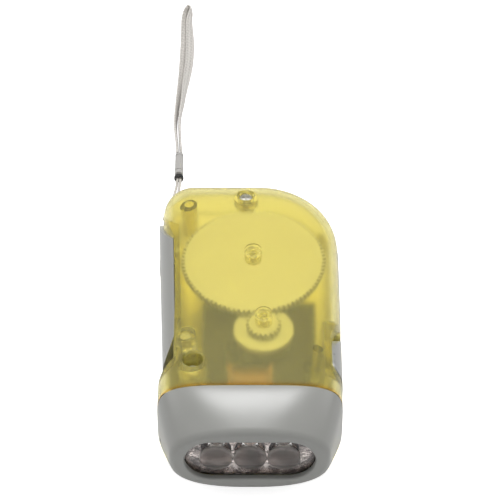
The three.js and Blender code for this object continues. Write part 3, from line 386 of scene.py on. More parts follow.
@dataclass(frozen=True)
class Cushion:
    """The case's rounded form: level outlines that draw in towards the broad faces.

    At an angle a up the crown the outline lies W (1 - cos^p a) inside the widest one, at a height of
    T sin^p a from the middle, where W is half the width, T half the thickness and p = 2 / crown.
    """

    inward: float = 0.0
    head: float = CASE.lamp_end
    tail_right: float = 25.0
    tail_left: float = 9.5
    corner_rounding: float = 4.0
    top_angle: float = 84.0
    flat_depth: float = 0.004
    levels: int = 22
    corner_steps: int = 20
    side_steps: int = 10

    @property
    def power(self) -> float:
        """The exponent of the crown's cosine and sine."""
        return 2 / CASE.crown

    @property
    def half_width(self) -> float:
        """Half the width at this depth below the surface."""
        return CASE.half_width - self.inward

    @property
    def half_thickness(self) -> float:
        """Half the thickness at this depth below the surface."""
        return CASE.middle - self.inward

    @property
    def tail(self) -> float:
        """Where the tail ends at this depth below the surface."""
        return CASE.tail - self.inward

    def corner_radius(self, radius: float, inset: Points | float) -> Points | float:
        """The corner's radius, above zero: (d + sqrt(d^2 + s^2)) / 2, d = radius - inset, s = rounding."""
        left = radius - self.inward - inset
        return (left + np.sqrt(left ** 2 + self.corner_rounding ** 2)) / 2

    def outline(self, inset: float) -> Points:
        """The level outline at an inset: straight sides, and an arc at each tail corner.

        Args:
            inset: How far it lies inside the widest outline.

        Returns:
            The closed outline, from the head's right corner round to its left one.
        """
        half = self.half_width - inset
        tail = self.tail - inset
        right = self.corner_radius(self.tail_right, inset)
        left = self.corner_radius(self.tail_left, inset)
        up = np.linspace(self.head, tail - right, self.side_steps + 1)[:-1]
        down = np.linspace(tail - left, self.head, self.side_steps + 1)[1:]
        across = np.linspace(half - right, -half + left, self.side_steps // 2 + 1)[1:-1]
        return np.concatenate([
            np.stack([np.full(len(up), half), up], axis=1),
            arc((half - right, tail - right), (right, right), 0, 90, self.corner_steps),
            np.stack([across, np.full(len(across), tail)], axis=1),
            arc((-half + left, tail - left), (left, left), 90, 180, self.corner_steps),
            np.stack([np.full(len(down), -half), down], axis=1),
        ])

    def solid(self) -> Solid:
        """The whole form: level outlines from the flat underside to the flat top."""
        angle = np.radians(np.linspace(0, self.top_angle, self.levels))
        inset = self.half_width * (1 - np.cos(angle) ** self.power)
        height = self.half_thickness * (np.sin(angle) / np.sin(angle[-1])) ** self.power
        below = [along_axis(self.outline(i), CASE.middle - z, Axis.Z)
                 for i, z in zip(inset[:0:-1], height[:0:-1])]
        above = [along_axis(self.outline(i), CASE.middle + z, Axis.Z) for i, z in zip(inset, height)]
        return Solid.rings(below + above)

    def normals(self, places: Points) -> tuple[Points, Points]:
        """How far places lie from the form's surface, and the surface's own direction there.

        With g = distance from the corner's middle - corner radius, and the same from the straight sides,
        the outward direction is the slope of g, and the distance is g over the slope's length.

        Args:
            places: Rows of three numbers, in millimetres.

        Returns:
            The distances, and rows of unit directions.
        """
        rise = places[:, 2] - CASE.middle
        top = math.sin(math.radians(self.top_angle))
        share = np.clip(np.abs(rise) / self.half_thickness, 1e-4, 1)
        sine = np.clip(top * share ** (1 / self.power), 1e-6, top)
        cosine = np.sqrt(1 - sine ** 2)
        inset = self.half_width * (1 - cosine ** self.power)
        steep = (self.half_width / self.half_thickness) * top ** self.power \
            * cosine ** (self.power - 2) * sine ** (2 - self.power)
        right = places[:, 0] > 0
        radius = np.where(right, self.corner_radius(self.tail_right, inset),
                          self.corner_radius(self.tail_left, inset))
        from_x = np.abs(places[:, 0]) - (self.half_width - inset - radius)
        from_y = places[:, 1] - (self.tail - inset - radius)
        corner = (from_x > 0) & (from_y > 0)
        reach = np.where(corner, np.hypot(from_x, from_y), np.maximum(from_x, from_y))
        reach = np.maximum(reach, 1e-6)
        along_x = np.where(corner, from_x / reach, (from_x >= from_y).astype(float))
        along_y = np.where(corner, from_y / reach, (from_x < from_y).astype(float))
        slope = np.stack([along_x * np.sign(places[:, 0]), along_y, steep * np.sign(rise)], axis=1)
        length = np.linalg.norm(slope, axis=1)
        flat = np.abs(rise) > self.half_thickness - self.flat_depth
        unit = np.where(flat[:, None], [0, 0, 1] * np.sign(rise)[:, None], slope / length[:, None])
        gap = np.where(flat, 0.0, (reach - radius) / length)
        return gap, unit


def smooth_onto(mesh: bpy.types.Mesh, forms: Sequence[tuple[Cushion, float]], near: float = 0.06,
                like: float = 0.9) -> None:
    """Gives the parts of a cut mesh that still lie on a cushion form that form's own directions.

    Args:
        mesh: The mesh, in metres, already marked with its sharp edges.
        forms: Each form, and 1 where the mesh's outside lies on it or -1 where its inside does.
        near: How far from the form a corner may lie, in millimetres.
        like: The least cosine between the face's direction and the form's.
    """
    mesh.calc_loop_triangles()
    corner_point = np.empty(len(mesh.loops), np.int32)
    mesh.loops.foreach_get("vertex_index", corner_point)
    now = np.empty(len(mesh.loops) * 3, np.float32)
    mesh.corner_normals.foreach_get("vector", now)
    now = now.reshape(-1, 3).astype(float)
    face_way = np.empty(len(mesh.polygons) * 3)
    mesh.polygons.foreach_get("normal", face_way)
    sizes = np.empty(len(mesh.polygons), np.int32)
    mesh.polygons.foreach_get("loop_total", sizes)
    face_way = np.repeat(face_way.reshape(-1, 3), sizes, axis=0)
    places = read_points(mesh)[corner_point] / MM
    for form, side in forms:
        gap, way = form.normals(places)
        hit = (np.abs(gap) < near) & (np.einsum("ij,ij->i", face_way, way * side) > like)
        now[hit] = way[hit] * side
    mesh.normals_split_custom_set(now.tolist())


def notch_side(grow: float, rounding: int = 48) -> Solid:
    """The notch as seen from the side: |y/a|^n + |z/b|^n = 1 at its tail end, a blunt point.

    Args:
        grow: How much larger it is than the notch itself.
        rounding: Stretches in the pointed end.

    Returns:
        The solid, running along X through the whole case.
    """
    half = CASE.notch_height / 2 + grow
    reach = CASE.notch_cap_length + CASE.notch_point_share * grow
    power = 2 / CASE.notch_cap_exponent
    angle = np.radians(np.linspace(-90, 90, rounding + 1))
    along = np.maximum(np.cos(angle), 0) ** power
    up = np.sign(np.sin(angle)) * np.abs(np.sin(angle)) ** power
    cap = np.stack([CASE.notch_cap_centre + reach * along, CASE.middle + half * up], axis=1)
    far = -2 * CASE.tail
    outline = np.concatenate([[[far, CASE.middle - half]], cap, [[far, CASE.middle + half]]])
    return Solid.prism(outline, far, -far, Axis.X)


def notch(grow: float) -> Solid:
    """The whole notch that the lever lies in.

    Args:
        grow: How much larger it is than the notch itself.

    Returns:
        The solid.
    """
    slope = CASE.pivot[1] - CASE.notch_slope_start
    foot = slope - CASE.notch_slope_length - grow
    far = -2 * CASE.half_width
    plan = np.array([[CASE.wall_at(CASE.tail) + grow, CASE.tail], [far, CASE.tail], [far, foot],
                     [-CASE.half_width - grow / 2, foot], [CASE.wall_at(slope) + grow, slope - grow / 2]])
    return Solid.prism(plan, -CASE.thickness, 2 * CASE.thickness).within(notch_side(grow))


@dataclass
class Switch:
    """The slide switch on the right side, and the trim strip behind it."""

    knob_head: float = -30.5
    knob_tail: float = -12.2
    knob_height: float = 28.0
    knob_thickness: float = 3.4
    knob_proud: float = 0.2
    tail_corner: float = 12.0
    head_corner: float = 3.0
    travel: float = 3.0
    ridges: int = 5
    ridge_depth: float = 0.5
    ridge_spacing: float = 1.4
    ridge_height: float = 8.0
    recess_depth: float = 3.7
    stem_centre: float = -17.9
    stem_height: float = 2.4
    stem_length: float = 3.0
    stem_drop: float = 4.0
    prong_width: float = 1.0
    strip_length: float = 45.0
    strip_height: float = 10.0
    strip_thickness: float = 1.2
    strip_proud: float = 0.2
    strip_start: float = -6.5
    rounding: float = 0.4

    @property
    def prong_end(self) -> float:
        """X that the knob's prongs reach to inside the case."""
        return CASE.half_width - self.recess_depth - CASE.wall - CLEARANCE

    def outline(self, head: float, tail: float, height: float) -> Points:
        """A rectangle with large rounded corners at its tail end and small ones at its head end.

        Args:
            head: Y of its head end.
            tail: Y of its tail end.
            height: Its height.

        Returns:
            The closed outline as Y and Z.
        """
        corners = []
        for y, sign, radius, start in ((tail - self.tail_corner, -1, self.tail_corner, -90),
                                       (tail - self.tail_corner, 1, self.tail_corner, 0),
                                       (head + self.head_corner, 1, self.head_corner, 90),
                                       (head + self.head_corner, -1, self.head_corner, 180)):
            middle = (y, CASE.middle + sign * (height / 2 - radius))
            corners.append(arc(middle, (radius, radius), start, start + 90, 16))
        return np.concatenate(corners)

    def recess(self, grow: float) -> Solid:
        """The hollow that the knob slides in.

        Args:
            grow: How much larger it is than the hollow itself.

        Returns:
            The solid.
        """
        rim = CLEARANCE + grow
        outline = self.outline(self.knob_head - rim, self.knob_tail + self.travel + rim,
                               self.knob_height + 2 * rim)
        floor = CASE.half_width - self.recess_depth - grow
        return Solid.prism(outline, floor, CASE.half_width + OVERRUN, Axis.X)

    def strip_side(self, grow: float) -> Solid:
        """The strip as seen from the side, made larger by some growth, running out from inside the case."""
        outline = stadium((self.strip_start + self.strip_length / 2, CASE.middle),
                          self.strip_length + 2 * grow, self.strip_height + 2 * grow)
        return Solid.prism(outline, CASE.half_width / 2, CASE.half_width + OVERRUN, Axis.X)

    def strip_recess(self) -> Solid:
        """The shallow hollow that the strip is glued in."""
        floor = Cushion(inward=self.strip_thickness + CLEARANCE - self.strip_proud)
        return self.strip_side(CLEARANCE).minus(floor.solid())

    def stem_slot(self) -> Solid:
        """The slot through the hollow's floor that the switch's stem moves in."""
        reach = self.stem_length / 2 + CLEARANCE + self.prong_width
        height = CASE.middle - self.stem_drop
        return Solid.block(
            (self.prong_end, self.stem_centre - reach - CLEARANCE, height - self.stem_height / 2 - CLEARANCE),
            (CASE.half_width, self.stem_centre + reach + self.travel + CLEARANCE,
             height + self.stem_height / 2 + CLEARANCE))

    def knob(self) -> Solid:
        """The knob: a cap as round as the case, with grooves across it and two prongs round the stem."""
        outer = CASE.half_width + self.knob_proud
        inner = CASE.half_width - self.knob_thickness
        outline = self.outline(self.knob_head, self.knob_tail, self.knob_height)
        body = Solid.prism(outline, inner, outer + OVERRUN, Axis.X)
        body.within(Cushion().solid().moved((self.knob_proud, 0, 0)))
        middle = (self.knob_head + self.knob_tail) / 2
        for k in range(self.ridges):
            y = middle + (k - (self.ridges - 1) / 2) * self.ridge_spacing
            half = self.ridge_spacing / 3
            groove = arc((y, outer), (half, self.ridge_depth), 180, 360, 10)
            groove = np.concatenate([groove, [[y + half, outer + OVERRUN], [y - half, outer + OVERRUN]]])
            body.minus(Solid.prism(groove[:, ::-1], CASE.middle - self.ridge_height,
                                   CASE.middle + self.ridge_height))
        height = CASE.middle - self.stem_drop
        for side in (-1, 1):
            y = self.stem_centre + side * (self.stem_length / 2 + self.prong_width / 2 + CLEARANCE)
            body.plus(Solid.block(
                (self.prong_end, y - self.prong_width / 2, height - self.stem_height / 2),
                (inner + self.knob_thickness / 2, y + self.prong_width / 2, height + self.stem_height / 2)))
        return body

    def strip(self) -> Solid:
        """The trim strip: a long slot shape that follows the case round, its outer edge rounded off."""
        layers = []
        for angle in np.radians((0, 35, 60, 90)):
            face = Cushion(inward=self.rounding * (1 - math.sin(angle)) - self.strip_proud)
            layers.append(self.strip_side(-self.rounding * (1 - math.cos(angle))).within(face.solid()))
        back = Cushion(inward=self.strip_thickness - self.strip_proud)
        return layers[0].plus(*layers[1:]).minus(back.solid())


@dataclass
class Shells:
    """The two halves of the case, with their posts, bosses, bores and slots."""

    finish: bpy.types.Material
    switch: Switch
    boss_radius: float = 2.7
    boss_bottom: float = 30.0
    boss_top: float = 6.5
    ring_depth: float = 0.5
    ring_radius: float = 1.4
    axle_radius: float = 0.9
    bore_floor: float = 1.2
    post_wall: float = 1.1
    strap_post: tuple[float, float] = (-19.4, 38.2)
    strap_post_radius: float = 1.5
    pillar: tuple[float, float] = (20.3, -22.8)
    pillar_radius: float = 1.5
    support_radius: float = 1.4
    stator_posts: tuple[tuple[float, float], ...] = ((-12.6, -19.6), (18.6, -6.0), (13.6, -22.6))
    stator_bottom: float = 16.0
    board_posts: tuple[tuple[float, float], ...] = ((-10.4, -34.6), (3.6, -34.6), (-3.0, -24.6))
    board_bottom: float = 4.6
    switch_posts: tuple[tuple[float, float], ...] = ((19.5, -18.45), (19.5, -13.15))
    switch_bottom: float = 11.3
    battery_posts: tuple[tuple[float, float], ...] = ((13.8, -36.25), (13.8, -27.85))
    battery_bottom: float = 3.6
    pin_bottom: float = 4.2
    pin_top: float = 30.5
    running_gap: float = 0.5
    bore_sides: int = 32
    funnel: float = 0.35

    def rod(self, place: Sequence[float], radius: float, low: float, high: float) -> Solid:
        """An upright cylinder at an X and Y, from its lowest Z to its highest."""
        return Solid.prism(circle(place, radius, self.bore_sides), low, high)

    def softened(self, place: Sequence[float], radius: float, low: float, high: float) -> Solid:
        """A bore that widens at the surface, where its edge is rounded off.

        Args:
            place: Its X and Y.
            radius: Its radius.
            low: Its lowest Z.
            high: Z of the surface that it opens into.

        Returns:
            The solid, its mouth a quarter circle wider.
        """
        mouth = [(radius + draw, high - drop) for draw, drop in quarter(self.funnel)]
        wide = radius + self.funnel
        return Solid.turned([(radius, low), *mouth, (wide, high + OVERRUN)], place, sides=self.bore_sides)

    def empty_case(self) -> tuple[Solid, Solid]:
        """The walls of the whole case, and its outside form, which the posts keep within."""
        outside = Cushion().solid().minus(notch(0), self.switch.recess(0))
        inside = Cushion(inward=CASE.wall, head=CASE.lamp_end - OVERRUN).solid()
        inside.minus(notch(CASE.wall), self.switch.recess(CASE.wall))
        return outside.copy().minus(inside), outside

    def posts(self, outside: Solid) -> tuple[list[Solid], list[Solid]]:
        """What stands on the inside of each half.

        Args:
            outside: The outside form, which every post keeps within.

        Returns:
            The upper half's posts, and the lower half's.
        """
        seam_up = CASE.middle + CASE.seam_gap / 2
        seam_down = CASE.middle - CASE.seam_gap / 2
        roof = CASE.thickness - CASE.wall / 2
        floor = CASE.wall / 2
        shaft = CASE.shank_radius + CLEARANCE + self.post_wall
        pin_post = CASE.pin_radius + self.post_wall + CLEARANCE
        strap_post = self.strap_post_radius + self.post_wall
        up = [self.rod((x, y), shaft, seam_up, seat) for x, y, seat, _ in CASE.screws]
        up += [self.rod((x, y), bore + self.post_wall, seat - self.bore_floor, roof)
               for x, y, seat, bore in CASE.screws]
        up += [self.rod(place, self.boss_radius, self.boss_bottom, roof) for place in CASE.axles]
        up += [self.rod(CASE.pivot, pin_post, CASE.spring_top, roof),
               self.rod(self.strap_post, strap_post, CASE.middle + CASE.string_width + CLEARANCE,
                        CASE.thickness),
               self.rod(self.pillar, self.pillar_radius, seam_up, CASE.thickness)]
        down = [self.rod((x, y), shaft, floor, seam_down) for x, y, *_ in CASE.screws]
        down += [self.rod(place, self.boss_radius, floor, self.boss_top) for place in CASE.axles]
        down.append(self.rod(CASE.pivot, pin_post, floor, CASE.rack_bottom - CLEARANCE))
        standing = [((self.strap_post,), self.strap_post_radius, seam_down),
                    ((self.pillar,), self.pillar_radius, seam_down),
                    (self.stator_posts, self.support_radius, self.stator_bottom - CLEARANCE),
                    (self.board_posts, self.support_radius, self.board_bottom - CLEARANCE),
                    (self.switch_posts, self.support_radius, self.switch_bottom - CLEARANCE),
                    (self.battery_posts, self.support_radius, self.battery_bottom - CLEARANCE)]
        down += [self.rod(place, radius, 0, top) for places, radius, top in standing for place in places]
        return [p.within(outside) for p in up], [p.within(outside) for p in down]

    def strap_hole(self) -> Solid:
        """The slanted hole in the tail's left corner that the strings come out of."""
        radius = 2 * CASE.string_width
        corner = np.array([-CASE.half_width + Cushion.tail_left, CASE.tail - Cushion.tail_left, CASE.middle])
        way = np.array([-1.0, 1.0, 0.0]) / math.sqrt(2)
        across = np.array([1.0, 1.0, 0.0]) / math.sqrt(2)
        ring = circle((0, 0), radius, self.bore_sides)
        ring = ring[:, :1] * across + ring[:, 1:] * np.array([0.0, 0.0, 1.0])
        return Solid.rings([corner + ring, corner + ring + way * (Cushion.tail_left + OVERRUN)])

    def shared_cuts(self) -> list[Solid]:
        """What is cut out of both halves: the head's end, the lever's room, slots and holes."""
        x, y = CASE.pivot
        half_arm = CASE.arm_height / 2 + self.running_gap
        half_tongue = CASE.latch_tongue / 2 + self.running_gap
        return [
            Solid.block((-2 * CASE.half_width, CASE.lamp_end - OVERRUN, -OVERRUN),
                        (2 * CASE.half_width, CASE.bezel_back + CLEARANCE / 2, CASE.thickness + OVERRUN)),
            self.rod((x, y), CASE.pin_radius + CLEARANCE, self.pin_bottom - CLEARANCE,
                     self.pin_top + CLEARANCE),
            self.rod((x, y), CASE.hub_radius + self.running_gap, CASE.rack_bottom - CLEARANCE,
                     CASE.spring_top),
            Solid.block((CASE.notch_wall - OVERRUN, y - CASE.arm_start, CASE.middle - half_arm),
                        (x, y + CASE.arm_start + CASE.arm_length + self.running_gap, CASE.middle + half_arm)),
            self.switch.stem_slot(),
            Solid.block((CASE.notch_wall - CLEARANCE,
                         CASE.latch_centre - CASE.latch_tongue - self.running_gap,
                         CASE.middle - half_tongue),
                        (CASE.notch_wall + CASE.wall + CLEARANCE,
                         CASE.latch_centre + CASE.latch_tongue + CASE.latch_travel + self.running_gap,
                         CASE.middle + half_tongue)),
            self.strap_hole(),
            self.switch.strip_recess(),
        ]

    def upper_cuts(self) -> list[Solid]:
        """What is cut out of the upper half alone: counterbores, shank holes, axle bores and ring grooves."""
        cuts = []
        for x, y, seat, bore in CASE.screws:
            cuts += [self.softened((x, y), bore, seat, self.surface_at(x, y)),
                     self.rod((x, y), CASE.shank_radius + CLEARANCE, CASE.middle - OVERRUN, seat + CLEARANCE)]
        for place in CASE.axles:
            ring = self.rod(place, self.boss_radius, CASE.thickness - self.ring_depth,
                            CASE.thickness + OVERRUN)
            island = self.rod(place, self.ring_radius, 0, CASE.thickness + 2 * OVERRUN)
            cuts += [self.rod(place, self.axle_radius + CLEARANCE, CASE.middle, CASE.thickness - CASE.wall),
                     ring.minus(island)]
        cuts += [self.rod(self.strap_post, self.strap_post_radius, CASE.middle, CASE.thickness - CASE.wall),
                 self.rod(self.pillar, self.pillar_radius - self.post_wall / 2,
                          CASE.thickness - self.ring_depth, CASE.thickness + OVERRUN)]
        return cuts

    def lower_cuts(self) -> list[Solid]:
        """What is cut out of the lower half alone: the screws' pilot holes and the axle bores."""
        cuts = [self.rod((x, y), CASE.shank_radius + CLEARANCE, seat - CASE.screw_length - CLEARANCE,
                         CASE.middle + OVERRUN) for x, y, seat, _ in CASE.screws]
        return cuts + [self.rod(place, self.axle_radius + CLEARANCE, CASE.wall, CASE.middle)
                       for place in CASE.axles]

    def surface_at(self, x: float, y: float) -> float:
        """Z of the case's upper surface over a place, found where the form's distance changes sign.

        Args:
            x: The place's X.
            y: The place's Y.

        Returns:
            The height in millimetres.
        """
        heights = np.linspace(CASE.middle + 1, CASE.thickness - 0.01, 600)
        column = np.stack([np.full_like(heights, x), np.full_like(heights, y), heights], axis=1)
        gap, _ = Cushion().normals(column)
        inside = np.nonzero(gap < 0)[0]
        return float(heights[inside[-1]]) if len(inside) else CASE.thickness

    def build(self) -> None:
        """Makes both halves and dresses them."""
        walls, outside = self.empty_case()
        up, down = self.posts(outside)
        shared = self.shared_cuts()
        far = 2 * CASE.tail
        halves = {
            "upper_shell": (up, self.upper_cuts(), CASE.middle + CASE.seam_gap / 2, CASE.thickness + OVERRUN),
            "lower_shell": (down, self.lower_cuts(), -OVERRUN, CASE.middle - CASE.seam_gap / 2),
        }
        forms = [(Cushion(), 1.0), (Cushion(inward=CASE.wall, head=CASE.lamp_end - OVERRUN), -1.0)]
        for node, (posts, cuts, low, high) in halves.items():
            shell = walls.copy().plus(*posts).minus(*shared).minus(*cuts)
            shell.within(Solid.block((-far, -far, low), (far, far, high)))
            piece = wear_piece(node + "_moulding", shell.mesh, self.finish, "case", [node],
                               28)
            smooth_onto(piece.data, forms)


@dataclass
class Head:
    """The grey lamp head: bezel, window, mirror cups, lamps and their board."""

    bezel_finish: bpy.types.Material
    window_finish: bpy.types.Material
    mirror_finish: bpy.types.Material
    lamp_finish: bpy.types.Material
    face_width: float = 47.5
    face_height: float = 26.0
    face_exponent: float = 2.5
    side_taper: float = 1.1
    top_taper: float = 1.4
    wall: float = 2.0
    front_wall: float = 1.6
    front_rounding: float = 1.5
    window_width: float = 39.2
    window_height: float = 16.8
    mouth_rounding: float = 0.6
    window_rounding: float = 0.3
    tray_depth: float = 2.2
    tray_slope: float = 1.5
    bowl_start: float = 0.5
    lens_lip: float = 1.0
    lens_thickness: float = 1.2
    post_reach: float = 1.8
    post_straight: float = 0.85
    reflector_depth: float = 8.0
    reflector_wall: float = 1.1
    cup_diameter: float = 9.8
    cup_spacing: float = 10.15
    cup_count: int = 3
    led_diameter: float = 5.0
    led_length: float = 7.0
    sides: int = 128
    steps: int = 28

    @property
    def lens_front(self) -> float:
        """Y of the ledge that the window rests against."""
        return CASE.lamp_end + self.front_wall

    @property
    def mirror_front(self) -> float:
        """Y of the mirror moulding's front."""
        return self.lens_front + self.lens_thickness + CLEARANCE

    @property
    def mirror_back(self) -> float:
        """Y of the mirror moulding's back."""
        return self.mirror_front + self.reflector_depth

    @property
    def cups(self) -> Points:
        """X of the middle of each cup."""
        return (np.arange(self.cup_count) - (self.cup_count - 1) / 2) * self.cup_spacing

    def section(self, y: float, inset: float) -> Points:
        """The head's outline at a place along it: |x/w|^n + |z/h|^n = 1, drawn in to the front.

        Args:
            y: The place along the head.
            inset: How far the outline lies inside the surface.

        Returns:
            The closed ring.
        """
        t = np.clip((CASE.bezel_back - y) / (CASE.bezel_back - CASE.lamp_end), 0, 1)
        half_w = CASE.half_width - (CASE.half_width - self.face_width / 2) * t ** self.side_taper - inset
        half_h = CASE.middle - (CASE.middle - self.face_height / 2) * t ** self.top_taper - inset
        exponent = CASE.crown + (self.face_exponent - CASE.crown) * t
        angle = 2 * np.pi * (np.arange(self.sides) + 0.5) / self.sides
        x = half_w * np.sign(np.cos(angle)) * np.abs(np.cos(angle)) ** (2 / exponent)
        z = half_h * np.sign(np.sin(angle)) * np.abs(np.sin(angle)) ** (2 / exponent)
        return along_axis(np.stack([x, CASE.middle + z], axis=1), y, Axis.Y)

    def body(self, inset: float, front: float, back: float, rounding: float) -> Solid:
        """The head's form between two places, its front edge rounded as a quarter circle.

        Args:
            inset: How far it lies inside the surface.
            front: Y of its front.
            back: Y of its back.
            rounding: The front edge's radius.

        Returns:
            The solid.
        """
        rings = [self.section(front + drop, inset + draw)
                 for draw, drop in quarter(rounding, 9)[::-1]] if rounding else []
        along = np.linspace(front + rounding, back, self.steps)[bool(rings):]
        return Solid.rings([*rings, *(self.section(y, inset) for y in along)])

    def window_ring(self, grow: float, y: float) -> Points:
        """The window's outline, made larger by some growth, at a place along the head."""
        return along_axis(stadium((0, CASE.middle), self.window_width + 2 * grow,
                                  self.window_height + 2 * grow, 32), y, Axis.Y)

    def slot(self, grow: float, front: float, back: float) -> Solid:
        """A plate in the window's outline, made larger by some growth, from a front to a back."""
        return Solid.rings([self.window_ring(grow, front), self.window_ring(grow, back)])

    def window_mouth(self) -> Solid:
        """The window's opening, whose front edge is rounded off."""
        edge = [(draw, CASE.lamp_end + drop) for draw, drop in quarter(self.mouth_rounding)[::-1]]
        profile = [(self.mouth_rounding, CASE.lamp_end - OVERRUN), *edge, (0.0, CASE.bezel_back)]
        return Solid.rings([self.window_ring(grow, y) for grow, y in profile])

    def bezel(self) -> Solid:
        """The grey shell of the head: its outside less its inside, with the window cut out."""
        outer = self.body(0, CASE.lamp_end, CASE.bezel_back - CLEARANCE / 2, self.front_rounding)
        inner = self.body(self.wall, self.lens_front, CASE.bezel_back + OVERRUN, 0)
        return outer.minus(inner, self.window_mouth(),
                           self.slot(self.lens_lip + CLEARANCE, self.lens_front, CASE.bezel_back))

    def window(self) -> Solid:
        """The clear window: a flat plate that carries a round lens with a domed face before each lamp."""
        front = self.lens_front + CLEARANCE
        rings = [self.window_ring(self.lens_lip - draw, front + drop)
                 for draw, drop in quarter(self.window_rounding)[::-1]]
        plate = Solid.rings([*rings, self.window_ring(self.lens_lip, self.lens_front + self.lens_thickness)])
        radius = self.cup_diameter / 2
        rise = np.radians(np.linspace(3, 90, 12))
        dome = [(radius * math.sin(a), front - self.post_straight
                 - (self.post_reach - self.post_straight) * math.cos(a)) for a in rise]
        for x in self.cups:
            plate.plus(Solid.turned([*dome, (radius, front + self.lens_thickness / 2)], (x, CASE.middle),
                                    Axis.Y, 64))
        return plate

    def mirror(self) -> Solid:
        """The mirror moulding: a sloping tray with three bowls, each a parabola r^2 = m^2 (1 - depth)."""
        body = self.slot(self.lens_lip, self.mirror_front, self.mirror_back)
        tray = [self.window_ring(-self.tray_slope * s,
                                 self.mirror_front + self.tray_depth * math.sin(s * math.pi / 2))
                for s in np.linspace(0, 1, 5)]
        body.minus(Solid.rings([self.window_ring(0, self.mirror_front - OVERRUN), *tray]))
        mouth = self.cup_diameter / 2
        hole = self.led_diameter / 2 + CLEARANCE
        start = self.mirror_front + self.bowl_start
        depth = self.mirror_back - self.reflector_wall - start
        share = np.linspace(0, 1, 14)
        bowl = [(float(hole + (mouth - hole) * math.sqrt(1 - s)), float(start + s * depth)) for s in share]
        for x in self.cups:
            profile = [(mouth, start - OVERRUN), *bowl, (hole, self.mirror_back + OVERRUN)]
            body.minus(Solid.turned(profile, (x, CASE.middle), Axis.Y, 64))
        return body

    def lamp(self, x: float) -> Solid:
        """A clear lamp with a round nose, standing in the bottom of its cup, with a rim at its foot.

        Args:
            x: The cup's place.

        Returns:
            The solid.
        """
        r = self.led_diameter / 2
        tip = self.mirror_back - self.led_length
        angle = np.radians(np.linspace(4, 90, 14))
        nose = [(r * math.sin(a), tip + r * (1 - math.cos(a))) for a in angle]
        return Solid.turned([*nose, (r, tip + self.led_length)], (x, CASE.middle), Axis.Y, 40)

    def build(self) -> None:
        """Makes the head's pieces and dresses them."""
        wear_piece("lamp_bezel", self.bezel().mesh, self.bezel_finish, "case", ["head_bezel"],
                   40)
        wear_piece("lamp_window", self.window().mesh, self.window_finish, "case", ["lens_cover"])
        wear_piece("lamp_mirror", self.mirror().mesh, self.mirror_finish, "case", ["reflector"],
                   40)
        for i, x in enumerate(self.cups):
            wear_piece(f"lamp_{i + 1}", self.lamp(float(x)).mesh, self.lamp_finish, "case", [f"led_{i + 1}"])


